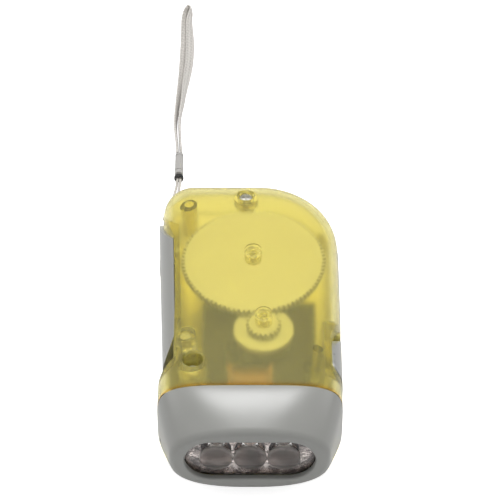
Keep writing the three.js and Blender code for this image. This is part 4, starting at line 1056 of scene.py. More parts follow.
@dataclass
class Lever:
    """The grey squeeze lever on the left side, its latch slide and its return spring."""

    finish: bpy.types.Material
    steel: bpy.types.Material
    tilt: float = 2.35
    inset: float = 1.0
    wall: float = 1.6
    nose: tuple[tuple[float, float], ...] = ((-0.5, 0.0), (4.5, 1.6), (7.4, 2.9), (8.0, 4.4))
    rib_thickness: float = 1.2
    rib_places: tuple[float, float] = (8.0, 38.0)
    hub_bottom: float = 11.3
    latch_length: float = 9.0
    latch_height: float = 7.0
    latch_thickness: float = 1.2
    latch_rounding: float = 0.4
    grip_spacing: float = 1.5
    wire: float = 0.8
    spring_radius: float = 2.9
    steps_per_curl: int = 40
    wire_sides: int = 14

    def form(self, inward: float) -> Solid:
        """The case's rounded form at a depth in the lever's skin, moved in and swung about its pin."""
        return Cushion(inward=inward).solid().moved((self.inset, 0, 0)).swung(CASE.pivot, self.tilt)

    def face_x(self, y: float) -> float:
        """X of the lever's outer face at mid height, at a place along the case."""
        return -CASE.half_width + self.inset - math.tan(math.radians(self.tilt)) * (y - CASE.pivot[1])

    def latch_cut(self) -> Solid:
        """The hollow that the latch slides in, and the slot for its tongue."""
        face = self.face_x(CASE.latch_centre)
        outline = stadium((CASE.latch_centre + CASE.latch_travel / 2, CASE.middle),
                          self.latch_length + CASE.latch_travel + 2 * CLEARANCE,
                          self.latch_height + 2 * CLEARANCE)
        half = CASE.latch_tongue / 2 + CLEARANCE
        slot = Solid.block((-2 * CASE.half_width, CASE.latch_centre - half, CASE.middle - half),
                           (CASE.notch_wall, CASE.latch_centre + half + CASE.latch_travel,
                            CASE.middle + half))
        floor = face + self.latch_thickness + CLEARANCE
        return Solid.prism(outline, face - OVERRUN, floor, Axis.X).plus(slot)

    def body(self) -> Solid:
        """The lever: a rounded skin over a hollow, with two ribs, an arm and a hub on its pin."""
        x, y = CASE.pivot
        far = 2 * CASE.half_width
        inner = CASE.wall_at(y) - CLEARANCE
        nose = [[inner - out, y - ahead] for ahead, out in self.nose]
        plan = np.array([[x, CASE.tail], [-far, CASE.tail], [-far, nose[-1][1]], *nose[::-1],
                         [x, y + CLEARANCE]])
        outside = self.form(0).within(notch(-CLEARANCE),
                                      Solid.prism(plan, -OVERRUN, CASE.thickness + OVERRUN))
        pocket = self.form(self.wall).within(
            notch_side(-CLEARANCE - self.wall),
            Solid.block((-far, y + CASE.arm_start + CASE.arm_length + self.wall, -OVERRUN),
                        (x, CASE.tail, CASE.thickness + OVERRUN)))
        ribs = [Solid.block((-far, rib, -OVERRUN), (x, rib + self.rib_thickness, CASE.thickness + OVERRUN))
                .within(outside) for rib in self.rib_places]
        arm_inner = CASE.notch_wall - (CASE.notch_depth - self.wall) / 2
        arm = np.array([[arm_inner, y + CASE.arm_start], [x + CASE.hub_radius / 2, y],
                        [x + CASE.hub_radius / 2, y + CASE.arm_start],
                        [CASE.notch_wall, y + CASE.arm_start + CASE.arm_length],
                        [arm_inner, y + CASE.arm_start + CASE.arm_length]])
        half = CASE.arm_height / 2
        return outside.minus(pocket).plus(*ribs).minus(self.latch_cut()).plus(
            Solid.prism(arm, CASE.middle - half, CASE.middle + half),
            Solid.prism(circle(CASE.pivot, CASE.hub_radius), self.hub_bottom, CASE.hub_top),
        ).minus(Solid.prism(circle(CASE.pivot, CASE.pin_radius + CLEARANCE), -OVERRUN, CASE.thickness))

    def latch(self) -> Solid:
        """The latch slide: a rounded button with three grip grooves, and a tongue behind it."""
        face = self.face_x(CASE.latch_centre)
        edge = [(0.0, face + self.latch_thickness),
                *((draw, face + drop) for draw, drop in quarter(self.latch_rounding))]
        body = Solid.rings([along_axis(stadium((CASE.latch_centre, CASE.middle), self.latch_length - 2 * draw,
                                               self.latch_height - 2 * draw), x, Axis.X) for draw, x in edge])
        for k in (-1, 0, 1):
            groove = circle((face, CASE.latch_centre + self.grip_spacing * k), self.latch_rounding, 16)
            body.minus(Solid.prism(groove, CASE.middle - self.latch_height / 4,
                                   CASE.middle + self.latch_height / 4))
        half = CASE.latch_tongue / 2
        return body.plus(Solid.block(
            (face + self.latch_thickness / 2, CASE.latch_centre - half, CASE.middle - half),
            (CASE.notch_wall + CASE.wall / 2, CASE.latch_centre + half, CASE.middle + half)))

    def spring(self) -> Solid:
        """The return spring round the pin: a wire on the helix (R cos t, R sin t, p t / 2 pi)."""
        turn = np.linspace(0, 2 * np.pi * CASE.spring_curls, CASE.spring_curls * self.steps_per_curl + 1)
        around = np.linspace(0, 2 * np.pi, self.wire_sides, endpoint=False)
        reach = self.spring_radius + self.wire / 2 * np.cos(around)
        base = CASE.hub_top + CLEARANCE + self.wire / 2
        rise = self.wire / 2 * np.sin(around)
        return Solid.rings([
            np.stack([CASE.pivot[0] + reach * math.cos(t), CASE.pivot[1] + reach * math.sin(t),
                      base + CASE.spring_pitch * t / (2 * np.pi) + rise], axis=1) for t in turn])

    def build(self) -> None:
        """Makes the lever's pieces and dresses them."""
        wear_piece("squeeze_lever", self.body().mesh, self.finish, "lever", ["lever"], 40)
        wear_piece("lever_latch", self.latch().mesh, self.finish, "latch", ["latch_slide"], 40)
        wear_piece("return_spring", self.spring().mesh, self.steel, "case", ["lever_spring"])


@dataclass
class Dynamo:
    """The coil's winding, with many more turns than the solid shows."""

    copper: bpy.types.Material
    axis_y: float = -25.25
    axis_z: float = 18.5
    half_length: float = 6.8
    flange: float = 0.9
    wire: float = 0.42
    first_radius: float = 4.6
    layers: int = 3
    pitch_share: float = 1.04
    nesting: float = 0.92
    steps_per_turn: int = 32
    wire_sides: int = 6

    def winding(self) -> Solid:
        """One unbroken wire, layer on layer: x goes to and fro by a wire's width each turn.

        Each layer's radius is nearly a wire's width larger than the last, and each ring of the tube
        is (x, R cos t, R sin t) with a circle of the wire's radius round it.
        """
        room = self.half_length - self.flange - CLEARANCE - self.wire / 2
        turns = int(2 * room / (self.wire * self.pitch_share))
        count = turns * self.steps_per_turn
        share = np.linspace(0, 1, count + 1)
        around = np.linspace(0, 2 * np.pi, self.wire_sides, endpoint=False)
        rings = []
        for layer in range(self.layers):
            radius = self.first_radius + layer * self.wire * self.nesting
            to_and_fro = share if layer % 2 == 0 else 1 - share
            blend = np.clip(share * turns, 0, 1) if layer else np.ones(count + 1)
            radii = radius - (1 - blend) * self.wire * self.nesting
            for s, r, t in list(zip(to_and_fro, radii, 2 * np.pi * turns * share))[layer > 0:]:
                reach = r + self.wire / 2 * np.cos(around)
                rings.append(np.stack([-room + 2 * room * s + self.wire / 2 * np.sin(around),
                                       self.axis_y + reach * math.cos(t), self.axis_z + reach * math.sin(t)],
                                      axis=1))
        return Solid.rings(rings)

    def build(self) -> None:
        """Makes the winding and dresses it."""
        wear_piece("fine_winding", self.winding().mesh, self.copper, "case", ["coil_winding"])


@dataclass
class Fasteners:
    """The two screws that hold the halves together."""

    finish: bpy.types.Material
    head_radius: float = 2.3
    head_height: float = 1.7
    dome_share: float = 0.55
    point_radius: float = 0.25
    point_length: float = 1.2
    plain_length: float = 2.4
    neck_length: float = 0.5
    crest: float = 0.45
    root: float = 0.95
    thread_depth: float = 0.22
    thread_pitch: float = 0.9
    cross_length: float = 1.5
    cross_width: float = 0.42
    cross_depth: float = 1.1
    cross_narrowing: float = 0.45

    def screw(self, x: float, y: float, seat: float) -> Solid:
        """A pan head with a cross in it, on a threaded shank whose profile is a saw-tooth.

        Args:
            x: The screw's X.
            y: Its Y.
            seat: Z of the seat under its head.

        Returns:
            The solid.
        """
        base = seat + CLEARANCE
        angle = np.radians(np.linspace(0, 72, 8))
        dome = [(self.head_radius * math.cos(a), base + self.head_height * (
            1 - self.dome_share + self.dome_share * math.sin(a) / math.sin(angle[-1]))) for a in angle]
        foot = base - CASE.screw_length
        core = CASE.shank_radius - self.thread_depth
        thread = [(self.point_radius, foot), (core, foot + self.point_length)]
        for low in np.arange(foot + self.point_length, base - self.plain_length, self.thread_pitch):
            thread += [(CASE.shank_radius, low + self.crest * self.thread_pitch),
                       (core, low + self.root * self.thread_pitch)]
        body = Solid.turned([*thread, (core, base - self.neck_length), (CASE.shank_radius, base),
                             (self.head_radius, base), *dome], (x, y), sides=40)
        top = base + self.head_height
        for long, short in ((self.cross_length, self.cross_width), (self.cross_width, self.cross_length)):
            arm = rectangle((-long, -short), (long, short))
            rings = [along_axis(arm * k + (x, y), z, Axis.Z) for k, z in (
                (1.0, top + 1), (1.0, top), (self.cross_narrowing, top - self.cross_depth))]
            body.minus(Solid.rings(rings))
        return body

    def build(self) -> None:
        """Makes both screws and dresses them."""
        for node, (x, y, seat, _) in zip(("tail_screw", "head_screw"), CASE.screws):
            wear_piece(node + "_bright", self.screw(x, y, seat).mesh, self.finish, "case", [node],
                       30)


@dataclass
class Strap:
    """The wrist strap: two strings from the tail, a rubber ring, a sleeve and a braided band.

    A row of a string's route is X, Y and Z. A row of the band's is X, Y and its lean in degrees.
    """

    string_finish: bpy.types.Material
    band_finish: bpy.types.Material
    sleeve_finish: bpy.types.Material
    ring_finish: bpy.types.Material
    x: float = -24.25
    z: float = 2.0
    twist_turns: int = 26
    twist_groove: float = 0.16
    exit_hole: tuple[float, float, float] = (-24.5, 47.0, 17.0)
    ring_diameter: float = 3.2
    ring_bore: float = 2.4
    ring_front: float = 81.6
    ring_length: float = 1.3
    ring_rounding: float = 0.35
    sleeve_width: float = 2.8
    sleeve_height: float = 4.0
    sleeve_front: float = 83.4
    sleeve_length: float = 9.8
    sleeve_rounding: float = 0.4
    seam_place: float = 1.4
    seam_width: float = 0.3
    seam_depth: float = 0.18
    band_width: float = 3.6
    band_thickness: float = 0.9
    band_lift: float = 0.05
    edge_rounding: float = 0.45
    edge_wave: float = 0.035
    pick_swell: float = 0.14
    string_routes: tuple[tuple[tuple[float, float, float], ...], ...] = (
        ((-17.64, 36.72, 16), (-17.1, 38.7, 16), (-18.3, 40.7, 16.2), (-21, 44.5, 16.8), (-24, 47.5, 17.2),
         (-26.2, 50.2, 16.4), (-27, 53.2, 13), (-26.9, 57, 8.4), (-26.3, 61.2, 4), (-25.6, 65.2, 1.4),
         (-25, 70.3, 0.6), (-24.4, 75.4, 0.6), (-24, 79, 1.1), (-23.75, 81.4, 1.9), (-23.75, 83.1, 2)),
        ((-17.92, 36.44, 16), (-19.6, 35.85, 16), (-21.3, 36.9, 16), (-21.7, 39.2, 16.1), (-21.4, 41.9, 16.3),
         (-22.6, 44.1, 16.7), (-25, 46.6, 17), (-27.4, 49.4, 16), (-28.4, 52.9, 12.2), (-28.4, 56.8, 7.4),
         (-28, 60.8, 3.4), (-27.5, 64.9, 1.2), (-26.8, 70.4, 0.6), (-25.7, 75.9, 0.6), (-25, 79.2, 1.1),
         (-24.75, 81.4, 1.9), (-24.75, 83.1, 2)),
    )
    band_route: tuple[tuple[float, float, float], ...] = (
        (-24.95, 93.5, 0), (-25.1, 97, 2), (-25.5, 102, 4), (-25.95, 108, 8), (-25.8, 114, 12),
        (-25.3, 120, 20), (-24.6, 127, 34), (-24, 134, 48), (-23.65, 142, 57), (-23.45, 150, 61),
        (-23.4, 158, 60), (-23.5, 163.5, 50), (-23.4, 167, 36), (-23, 169.6, 20), (-22.2, 171, 10),
        (-21.5, 169.9, 8), (-21.75, 167, 18), (-22, 163, 34), (-21.75, 157, 46), (-21.6, 150, 52),
        (-21.75, 142, 46), (-22.45, 134, 36), (-23.2, 127, 22), (-23.75, 120, 10), (-24.4, 114, 4),
        (-24.5, 108, 1), (-24.2, 102, 0), (-23.9, 97, 0), (-23.6, 93.5, 0),
    )
    string_lengths: tuple[float, float] = (0.0569, 0.0594)
    band_length: float = 0.1562

    def smooth_route(self, points: Points, steps: int) -> Points:
        """A centripetal Catmull-Rom curve through the points, sampled evenly in its parameter.

        Args:
            points: The route's points, a row each.
            steps: Samples on each stretch.

        Returns:
            The samples, with the route's own first and last points.
        """
        points = np.asarray(points, float)
        padded = np.concatenate([2 * points[:1] - points[1:2], points, 2 * points[-1:] - points[-2:-1]])
        knots = reach_along(padded, 0.5)
        pieces = []
        for k in range(1, len(padded) - 2):
            t = np.linspace(knots[k], knots[k + 1], steps, endpoint=False)[:, None]
            p, s = padded[k - 1:k + 3], knots[k - 1:k + 3]
            a = [(s[j + 1] - t) / (s[j + 1] - s[j]) * p[j] + (t - s[j]) / (s[j + 1] - s[j]) * p[j + 1]
                 for j in range(3)]
            b = [(s[j + 2] - t) / (s[j + 2] - s[j]) * a[j] + (t - s[j]) / (s[j + 2] - s[j]) * a[j + 1]
                 for j in range(2)]
            pieces.append((s[2] - t) / (s[2] - s[1]) * b[0] + (t - s[1]) / (s[2] - s[1]) * b[1])
        return np.concatenate([*pieces, points[-1:]])

    def even(self, path: Points, count: int) -> Points:
        """The same path with its points evenly apart.

        Args:
            path: Rows of numbers, the first three the place.
            count: Number of points wanted.

        Returns:
            The path at even lengths along it.
        """
        reach = reach_along(path)
        at = np.linspace(0, reach[-1], count)
        return np.stack([np.interp(at, reach, path[:, k]) for k in range(path.shape[1])], axis=1)

    def string(self, route: Sequence[Sequence[float]], strands: int = 3, sides: int = 24,
               count: int = 420) -> tuple[Solid, Points]:
        """A laid string: a tube whose section is a trefoil that turns along the route.

        The radius round the section is r (1 - d + d |cos(n (a - w s) / 2)|), where n is the number of
        strands, s the share of the route and w the turns of lay.

        Args:
            route: The listed points of the route.
            strands: Strands laid into the string.
            sides: Points round the section.
            count: Rings along the route.

        Returns:
            The solid, and the path through its rings.
        """
        path = self.even(self.smooth_route(np.array(route), 12), count)
        way = unit(np.gradient(path, axis=0))
        side = unit(np.cross(way, [0.0, 0.0, 1.0]))
        up = np.cross(side, way)
        angle = np.linspace(0, 2 * np.pi, sides, endpoint=False)
        lay = 2 * np.pi * self.twist_turns * np.linspace(0, 1, count)
        lobes = np.abs(np.cos(strands * (angle[None] - lay[:, None]) / 2))
        radius = CASE.string_width / 2 * (1 - self.twist_groove * (1 - lobes))
        rings = path[:, None] + radius[..., None] * (np.cos(angle)[None, :, None] * side[:, None]
                                                     + np.sin(angle)[None, :, None] * up[:, None])
        return Solid.rings(list(rings)), path

    def band(self, count: int = 520, section_steps: int = 8) -> tuple[bpy.types.Mesh, Points]:
        """The flat braided band: a rounded oblong section carried along its route.

        Its centre lies so high that the band's lower edge rests on the table, at any lean:
        z = (w cos a + t sin a) / 2 + lift. Small waves along both edges are the braid's own picks.

        Args:
            count: Rings along the route.
            section_steps: Stretches on each long side of the section.

        Returns:
            The mesh, with u across and v along its skin, and the path through its rings.
        """
        route = np.array(self.band_route)
        lean = np.radians(route[:, 2])
        z = (self.band_width * np.cos(lean) + self.band_thickness * np.sin(lean)) / 2 + self.band_lift
        samples = self.even(self.smooth_route(np.column_stack([route[:, :2], z, route[:, 2]]), 12), count)
        path, lean = samples[:, :3], np.radians(samples[:, 3])
        up = np.stack([-np.sin(lean), np.zeros(count), np.cos(lean)], axis=1)
        across = unit(np.cross(unit(np.gradient(path, axis=0)), up))
        length = reach_along(path)[-1]
        s = np.linspace(0, 1, count)
        flat = np.linspace(-1, 1, section_steps + 1)
        u = np.concatenate([flat, flat[::-1]])
        n = np.concatenate([np.full(section_steps + 1, -1.0), np.full(section_steps + 1, 1.0)])
        n = n * (1 - self.edge_rounding * np.abs(u) ** 6)
        picks = 2 * np.pi * length / WEAVE_PITCH * s
        edge = 1 - self.edge_wave * (1 - np.cos(picks))[:, None] * (np.abs(u) ** 8)[None]
        swell = 1 - self.pick_swell * np.abs(np.sin(picks[:, None] / 2 + np.where(n > 0, np.pi / 2, 0)[None]))
        rings = path[:, None] + (self.band_width / 2) * (u[None] * edge)[..., None] * up[:, None] \
            + (self.band_thickness / 2) * (n[None] * swell)[..., None] * across[:, None]
        mesh = Solid.rings(list(rings)).mesh
        corner = np.empty(len(mesh.loops), np.int32)
        mesh.loops.foreach_get("vertex_index", corner)
        sides = len(u)
        uv = np.stack([(u[corner % sides] + 1) / 2 * self.band_width, s[corner // sides] * length], axis=1)
        layer = mesh.uv_layers.new(name="weave")
        layer.data.foreach_set("uv", uv.astype(np.float32).ravel())
        return mesh, path

    def ring(self) -> Solid:
        """The rubber ring: a round band with rounded edges round both strings."""
        outer = self.ring_diameter / 2
        back = self.ring_front + self.ring_length
        edge = quarter(self.ring_rounding)
        body = Solid.turned([*((outer - drop, self.ring_front + draw) for draw, drop in edge),
                             *((outer - draw, back - drop) for draw, drop in edge)], (self.x, self.z), Axis.Y)
        return body.minus(Solid.prism(circle((self.x, self.z), self.ring_bore / 2),
                                      self.ring_front - OVERRUN, back + OVERRUN, Axis.Y))

    def oval(self, inset: float) -> Points:
        """The sleeve's outline as X and Z, made smaller by an inset."""
        return stadium((self.sleeve_height / 2, self.x), self.sleeve_height - 2 * inset,
                       self.sleeve_width - 2 * inset, 16)[:, ::-1]

    def sleeve(self) -> Solid:
        """The sleeve that clamps strings and band: an oval barrel with rounded ends and two seam grooves."""
        back = self.sleeve_front + self.sleeve_length
        edge = quarter(self.sleeve_rounding)
        profile = [*((drop, self.sleeve_front + draw) for draw, drop in edge),
                   *((draw, back - drop) for draw, drop in edge)]
        body = Solid.rings([along_axis(self.oval(inset), y, Axis.Y) for inset, y in profile])
        for y in (self.sleeve_front + self.seam_place, back - self.seam_place):
            collar = Solid.prism(self.oval(-self.seam_depth), y, y + self.seam_width, Axis.Y)
            body.minus(collar.minus(Solid.prism(self.oval(self.seam_depth), y - 1, y + 1, Axis.Y)))
        return body

    def build(self) -> None:
        """Makes the strap's pieces and dresses them."""
        ring = wear_piece("strap_grommet", self.ring().mesh, self.ring_finish, "case", ["strap_ring"])
        sleeve = wear_piece("strap_clamp", self.sleeve().mesh, self.sleeve_finish, "case", ["strap_sleeve"])
        for i, (route, length) in enumerate(zip(self.string_routes, self.string_lengths)):
            solid, path = self.string(route)
            piece = wear_piece(f"laid_string_{i + 1}", solid.mesh, self.string_finish, "case",
                               [f"strap_string_{i + 1}"], 80)
        mesh, path = self.band()
        band = wear_piece("braided_band", mesh, self.band_finish, "case", ["strap_band"], 60)


class Graph:
    """A node tree under construction, with short ways to place, feed and blend."""

    tree: bpy.types.NodeTree

    def node(self, kind: str, **values: object) -> bpy.types.Node:
        """Adds a node.

        Args:
            kind: Its type, without the ShaderNode prefix.
            **values: Its settings by name, and its inputs by their name with _ for a space.

        Returns:
            The node.
        """
        node = self.tree.nodes.new("ShaderNode" + kind)
        for name, value in values.items():
            if name.replace("_", " ") in node.inputs:
                node.inputs[name.replace("_", " ")].default_value = value
            else:
                setattr(node, name, value)
        return node

    def feed(self, source: Feed, target: Socket) -> None:
        """Gives an input an output to follow, or a value of its own.

        Args:
            source: The output, the number or the colour.
            target: The input.
        """
        if isinstance(source, Socket):
            self.tree.links.new(source, target)
        else:
            target.default_value = (*source, 1) if isinstance(source, tuple) else source

    def mixed(self, mask: Socket, first: Feed, second: Feed) -> Socket:
        """Blends two colours.

        Args:
            mask: What is 0 for the first and 1 for the second.
            first: The first colour.
            second: The second colour.

        Returns:
            The blend's output.
        """
        mix = self.node("Mix", data_type="RGBA")
        for number, source in ((0, mask), (6, first), (7, second)):
            self.feed(source, mix.inputs[number])
        return mix.outputs[2]


class Look(Graph):
    """A material under construction, round one Principled shader."""

    def __init__(self, name: str, colour: Colour, roughness: float, metallic: float = 0.0, ior: float = 1.5,
                 transmission: float = 0.0) -> None:
        """Starts a material with a Principled shader of these plain values.

        Args:
            name: The material's name.
            colour: Its base colour, linear.
            roughness: Its roughness.
            metallic: 1 for bare metal.
            ior: Its index of refraction.
            transmission: How much of it is clear.
        """
        self.material = bpy.data.materials.new(name)
        self.material.use_nodes = True
        self.tree = self.material.node_tree
        self.shader = self.tree.nodes["Principled BSDF"]
        self.output = self.tree.nodes["Material Output"]
        for socket, value in (("Base Color", colour), ("Roughness", roughness), ("Metallic", metallic),
                              ("IOR", ior), ("Transmission Weight", transmission)):
            self.drive(socket, value)

    def drive(self, name: str, source: Feed) -> None:
        """Feeds one of the shader's inputs."""
        self.feed(source, self.shader.inputs[name])

    def group(self, tree: bpy.types.NodeTree, vector: Socket | None = None,
              **values: object) -> bpy.types.Node:
        """Places a node group.

        Args:
            tree: The group.
            vector: What feeds its Vector input, the Object coordinates if left out.
            **values: Its other inputs, by their name with _ for a space.

        Returns:
            The group's node.
        """
        node = self.node("Group", node_tree=tree, **values)
        self.feed(vector or self.node("TexCoord").outputs["Object"], node.inputs["Vector"])
        return node

    def spread(self, share: Socket, low: float, high: float) -> None:
        """Lets the shader's roughness follow a share of 0 to 1.

        Args:
            share: The share's output.
            low: The roughness at 0.
            high: The roughness at 1.
        """
        gloss = self.node("MapRange", To_Min=low, To_Max=high)
        self.feed(share, gloss.inputs["Value"])
        self.drive("Roughness", gloss.outputs["Result"])

    def relief(self, height: Socket, distance: float, under: Socket | None = None) -> Socket:
        """Turns a height into a bump on the shader's normal.

        Args:
            height: The height's output.
            distance: How deep one unit of it is, in millimetres.
            under: The normal that it is laid over.

        Returns:
            The bumped normal's output.
        """
        bump = self.node("Bump", Distance=distance * MM, Strength=1.0)
        self.feed(height, bump.inputs["Height"])
        if under:
            self.feed(under, bump.inputs["Normal"])
        self.drive("Normal", bump.outputs["Normal"])
        return bump.outputs["Normal"]

    def by_ray(self, ray: str, shader: Socket) -> None:
        """Shows another shader to one kind of ray.

        Args:
            ray: The kind of ray, by its Light Path output.
            shader: The shader that these rays meet.
        """
        path, mix = self.node("LightPath"), self.node("MixShader")
        for number, source in enumerate((path.outputs[ray], self.shader.outputs["BSDF"], shader)):
            self.feed(source, mix.inputs[number])
        self.feed(mix.outputs["Shader"], self.output.inputs["Surface"])

    def let_lamps_through(self, tint: Colour) -> None:
        """Lets rays from lamps pass straight through, each skin passing a share of red, green and blue."""
        self.by_ray("Is Shadow Ray", self.node("BsdfTransparent", Color=(*tint, 1)).outputs["BSDF"])


class Effect(Graph):
    """A shader node group under construction, with named inputs and outputs."""

    def __init__(self, name: str, inputs: dict[str, float], outputs: dict[str, str]) -> None:
        """Starts a group that takes a Vector and these numbers.

        Args:
            name: The group's name.
            inputs: The other inputs and their usual values.
            outputs: The outputs, each with Float, Color or Vector.
        """
        self.tree = bpy.data.node_groups.new(name, "ShaderNodeTree")
        add = self.tree.interface.new_socket
        add("Vector", in_out="INPUT", socket_type="NodeSocketVector")
        for key, value in inputs.items():
            add(key, in_out="INPUT", socket_type="NodeSocketFloat").default_value = value
        for key, kind in outputs.items():
            add(key, in_out="OUTPUT", socket_type="NodeSocket" + kind)
        self.given = self.tree.nodes.new("NodeGroupInput").outputs
        self.result = self.tree.nodes.new("NodeGroupOutput").inputs

    def maths(self, operation: str, *sources: Feed) -> Socket:
        """Adds a Math node.

        Args:
            operation: What it does.
            *sources: Its inputs, each an output or a number.

        Returns:
            Its output.
        """
        node = self.node("Math", operation=operation)
        for socket, source in zip(node.inputs, sources):
            self.feed(source, socket)
        return node.outputs[0]

    def axes(self) -> tuple[Socket, ...]:
        """The X, Y and Z of the Vector input."""
        split = self.node("SeparateXYZ")
        self.feed(self.given["Vector"], split.inputs["Vector"])
        return tuple(split.outputs)


@cache
def moulded_grain() -> bpy.types.NodeTree:
    """The skin of moulded plastic: Height is fine spark texture, Blotch slow changes of gloss and colour."""
    effect = Effect("moulded_grain", {"Grain Size": 0.25, "Blotch Size": 12.0},
                    {"Height": "Float", "Blotch": "Float"})
    for size, detail, output in (("Grain Size", 3.0, "Height"), ("Blotch Size", 2.0, "Blotch")):
        noise = effect.node("TexNoise", Detail=detail, Roughness=0.6)
        effect.feed(effect.given["Vector"], noise.inputs["Vector"])
        effect.feed(effect.maths("DIVIDE", 1 / MM, effect.given[size]), noise.inputs["Scale"])
        effect.feed(noise.outputs["Fac"], effect.result[output])
    return effect.tree


@cache
def edge_band() -> bpy.types.NodeTree:
    """Mask is 1 at a place along Y and falls to 0 over a width on each side of it."""
    effect = Effect("edge_band", {"Place": 0.0, "Width": 1.0}, {"Mask": "Float"})
    _, y, _ = effect.axes()
    away = effect.maths("ABSOLUTE", effect.maths("SUBTRACT", y, effect.given["Place"]))
    share = effect.maths("DIVIDE", away, effect.given["Width"])
    rest = effect.maths("MAXIMUM", effect.maths("SUBTRACT", 1.0, share), 0.0)
    effect.feed(effect.maths("POWER", rest, 1.6), effect.result["Mask"])
    return effect.tree


@cache
def plain_weave() -> bpy.types.NodeTree:
    """A square braid on a flat map in millimetres: threads over and under each other in turn.

    Height is the taller of two rows of half rounds, |sin| across the threads, each raised where it
    lies on top in a chequer of the two pitches. Gap is high between threads.
    """
    effect = Effect("plain_weave", {"Pitch": WEAVE_PITCH}, {"Height": "Float", "Gap": "Float"})
    x, y, _ = effect.axes()
    waves = [effect.maths("SINE", effect.maths("MULTIPLY", math.pi, effect.maths(
        "DIVIDE", along, effect.given["Pitch"]))) for along in (x, y)]
    over = effect.maths("MULTIPLY", *(effect.maths("SIGN", wave) for wave in waves))
    warp, weft = (effect.maths("MULTIPLY", effect.maths("ABSOLUTE", wave),
                               effect.maths("MULTIPLY_ADD", over, lift, 0.75))
                  for wave, lift in zip(waves, (0.25, -0.25)))
    height = effect.maths("MAXIMUM", warp, weft)
    effect.feed(height, effect.result["Height"])
    effect.feed(effect.maths("POWER", effect.maths("SUBTRACT", 1.0, height), 1.5), effect.result["Gap"])
    return effect.tree


@cache
def stacked_sheets() -> bpy.types.NodeTree:
    """Lines across Z, as on the edge of a stack of thin sheets: Height falls to 0 between sheets."""
    effect = Effect("stacked_sheets", {"Pitch": 0.5}, {"Height": "Float"})
    *_, z = effect.axes()
    turn = effect.maths("DIVIDE", effect.maths("MULTIPLY", z, math.pi / MM), effect.given["Pitch"])
    effect.feed(effect.maths("POWER", effect.maths("ABSOLUTE", effect.maths("SINE", turn)), 0.35),
                effect.result["Height"])
    return effect.tree


@cache
def painted_lens_discs() -> bpy.types.NodeTree:
    """Mask is 1 inside the row of round lenses seen along Y, and Colour is painted on them: a pinkish grey
    with streaks of painted reflection, and painted shade over each lens's lower rim.

    The distance from the nearest lens's middle is the length of x - s round(x / s) and z - middle.
    """
    shade_start, shade_sharpness = 0.40, 9.0
    effect = Effect("painted_lens_discs", {"Spacing": Head.cup_spacing, "Radius": Head.cup_diameter / 2},
                    {"Mask": "Float", "Colour": "Color"})
    spacing, radius = effect.given["Spacing"], effect.given["Radius"]
    x, _, z = effect.axes()
    across = effect.maths("DIVIDE", x, MM)
    up = effect.maths("SUBTRACT", effect.maths("DIVIDE", z, MM), CASE.middle)
    nearest = effect.maths("ROUND", effect.maths("DIVIDE", across, spacing))
    nearest = effect.maths("MAXIMUM", effect.maths("MINIMUM", nearest, 1.0), -1.0)
    away = effect.maths("SUBTRACT", across, effect.maths("MULTIPLY", nearest, spacing))
    reach = effect.maths("SQRT", effect.maths("ADD", effect.maths("MULTIPLY", away, away),
                                              effect.maths("MULTIPLY", up, up)))
    effect.feed(effect.maths("LESS_THAN", reach, radius), effect.result["Mask"])
    # Painted reflections: horizontal streaks of lighter and darker pinkish grey.
    painted_streaks = effect.node("TexNoise", Detail=3.0, Roughness=0.6, Scale=1 / MM)
    stretch = effect.node("Mapping", Scale=(0.12, 0.12, 1.3))
    effect.feed(effect.given["Vector"], stretch.inputs["Vector"])
    effect.feed(stretch.outputs["Vector"], painted_streaks.inputs["Vector"])
    painted_reflection = effect.mixed(painted_streaks.outputs["Fac"], (0.56, 0.50, 0.47), (1.0, 0.95, 0.92))
    # Painted shade: the colour darkens towards each lens's lower rim.
    depth = effect.maths("DIVIDE", effect.maths("MULTIPLY", up, -1.0), radius)
    painted_shade = effect.maths("MULTIPLY", effect.maths("SUBTRACT", depth, shade_start), shade_sharpness)
    painted_shade = effect.maths("MAXIMUM", effect.maths("MINIMUM", painted_shade, 1.0), 0.0)
    effect.feed(effect.mixed(painted_shade, painted_reflection, (0.20, 0.19, 0.18)), effect.result["Colour"])
    return effect.tree


@dataclass(frozen=True)
class Plastic:
    """A moulded plastic with a fine grain and slow changes of colour and gloss."""

    name: str
    colour: Colour
    shade: Colour
    roughness: float = 0.45
    grain_size: float = 0.25
    grain_depth: float = 0.006
    blotch_size: float = 9.0
    gloss_change: float = 0.12

    def make(self) -> bpy.types.Material:
        """Builds the material."""
        look = Look(self.name, self.colour, self.roughness)
        skin = look.group(moulded_grain(), Grain_Size=self.grain_size, Blotch_Size=self.blotch_size)
        look.drive("Base Color", look.mixed(skin.outputs["Blotch"], self.colour, self.shade))
        look.spread(skin.outputs["Blotch"], self.roughness - self.gloss_change / 2,
                    self.roughness + self.gloss_change / 2)
        look.relief(skin.outputs["Height"], self.grain_depth)
        return look.material


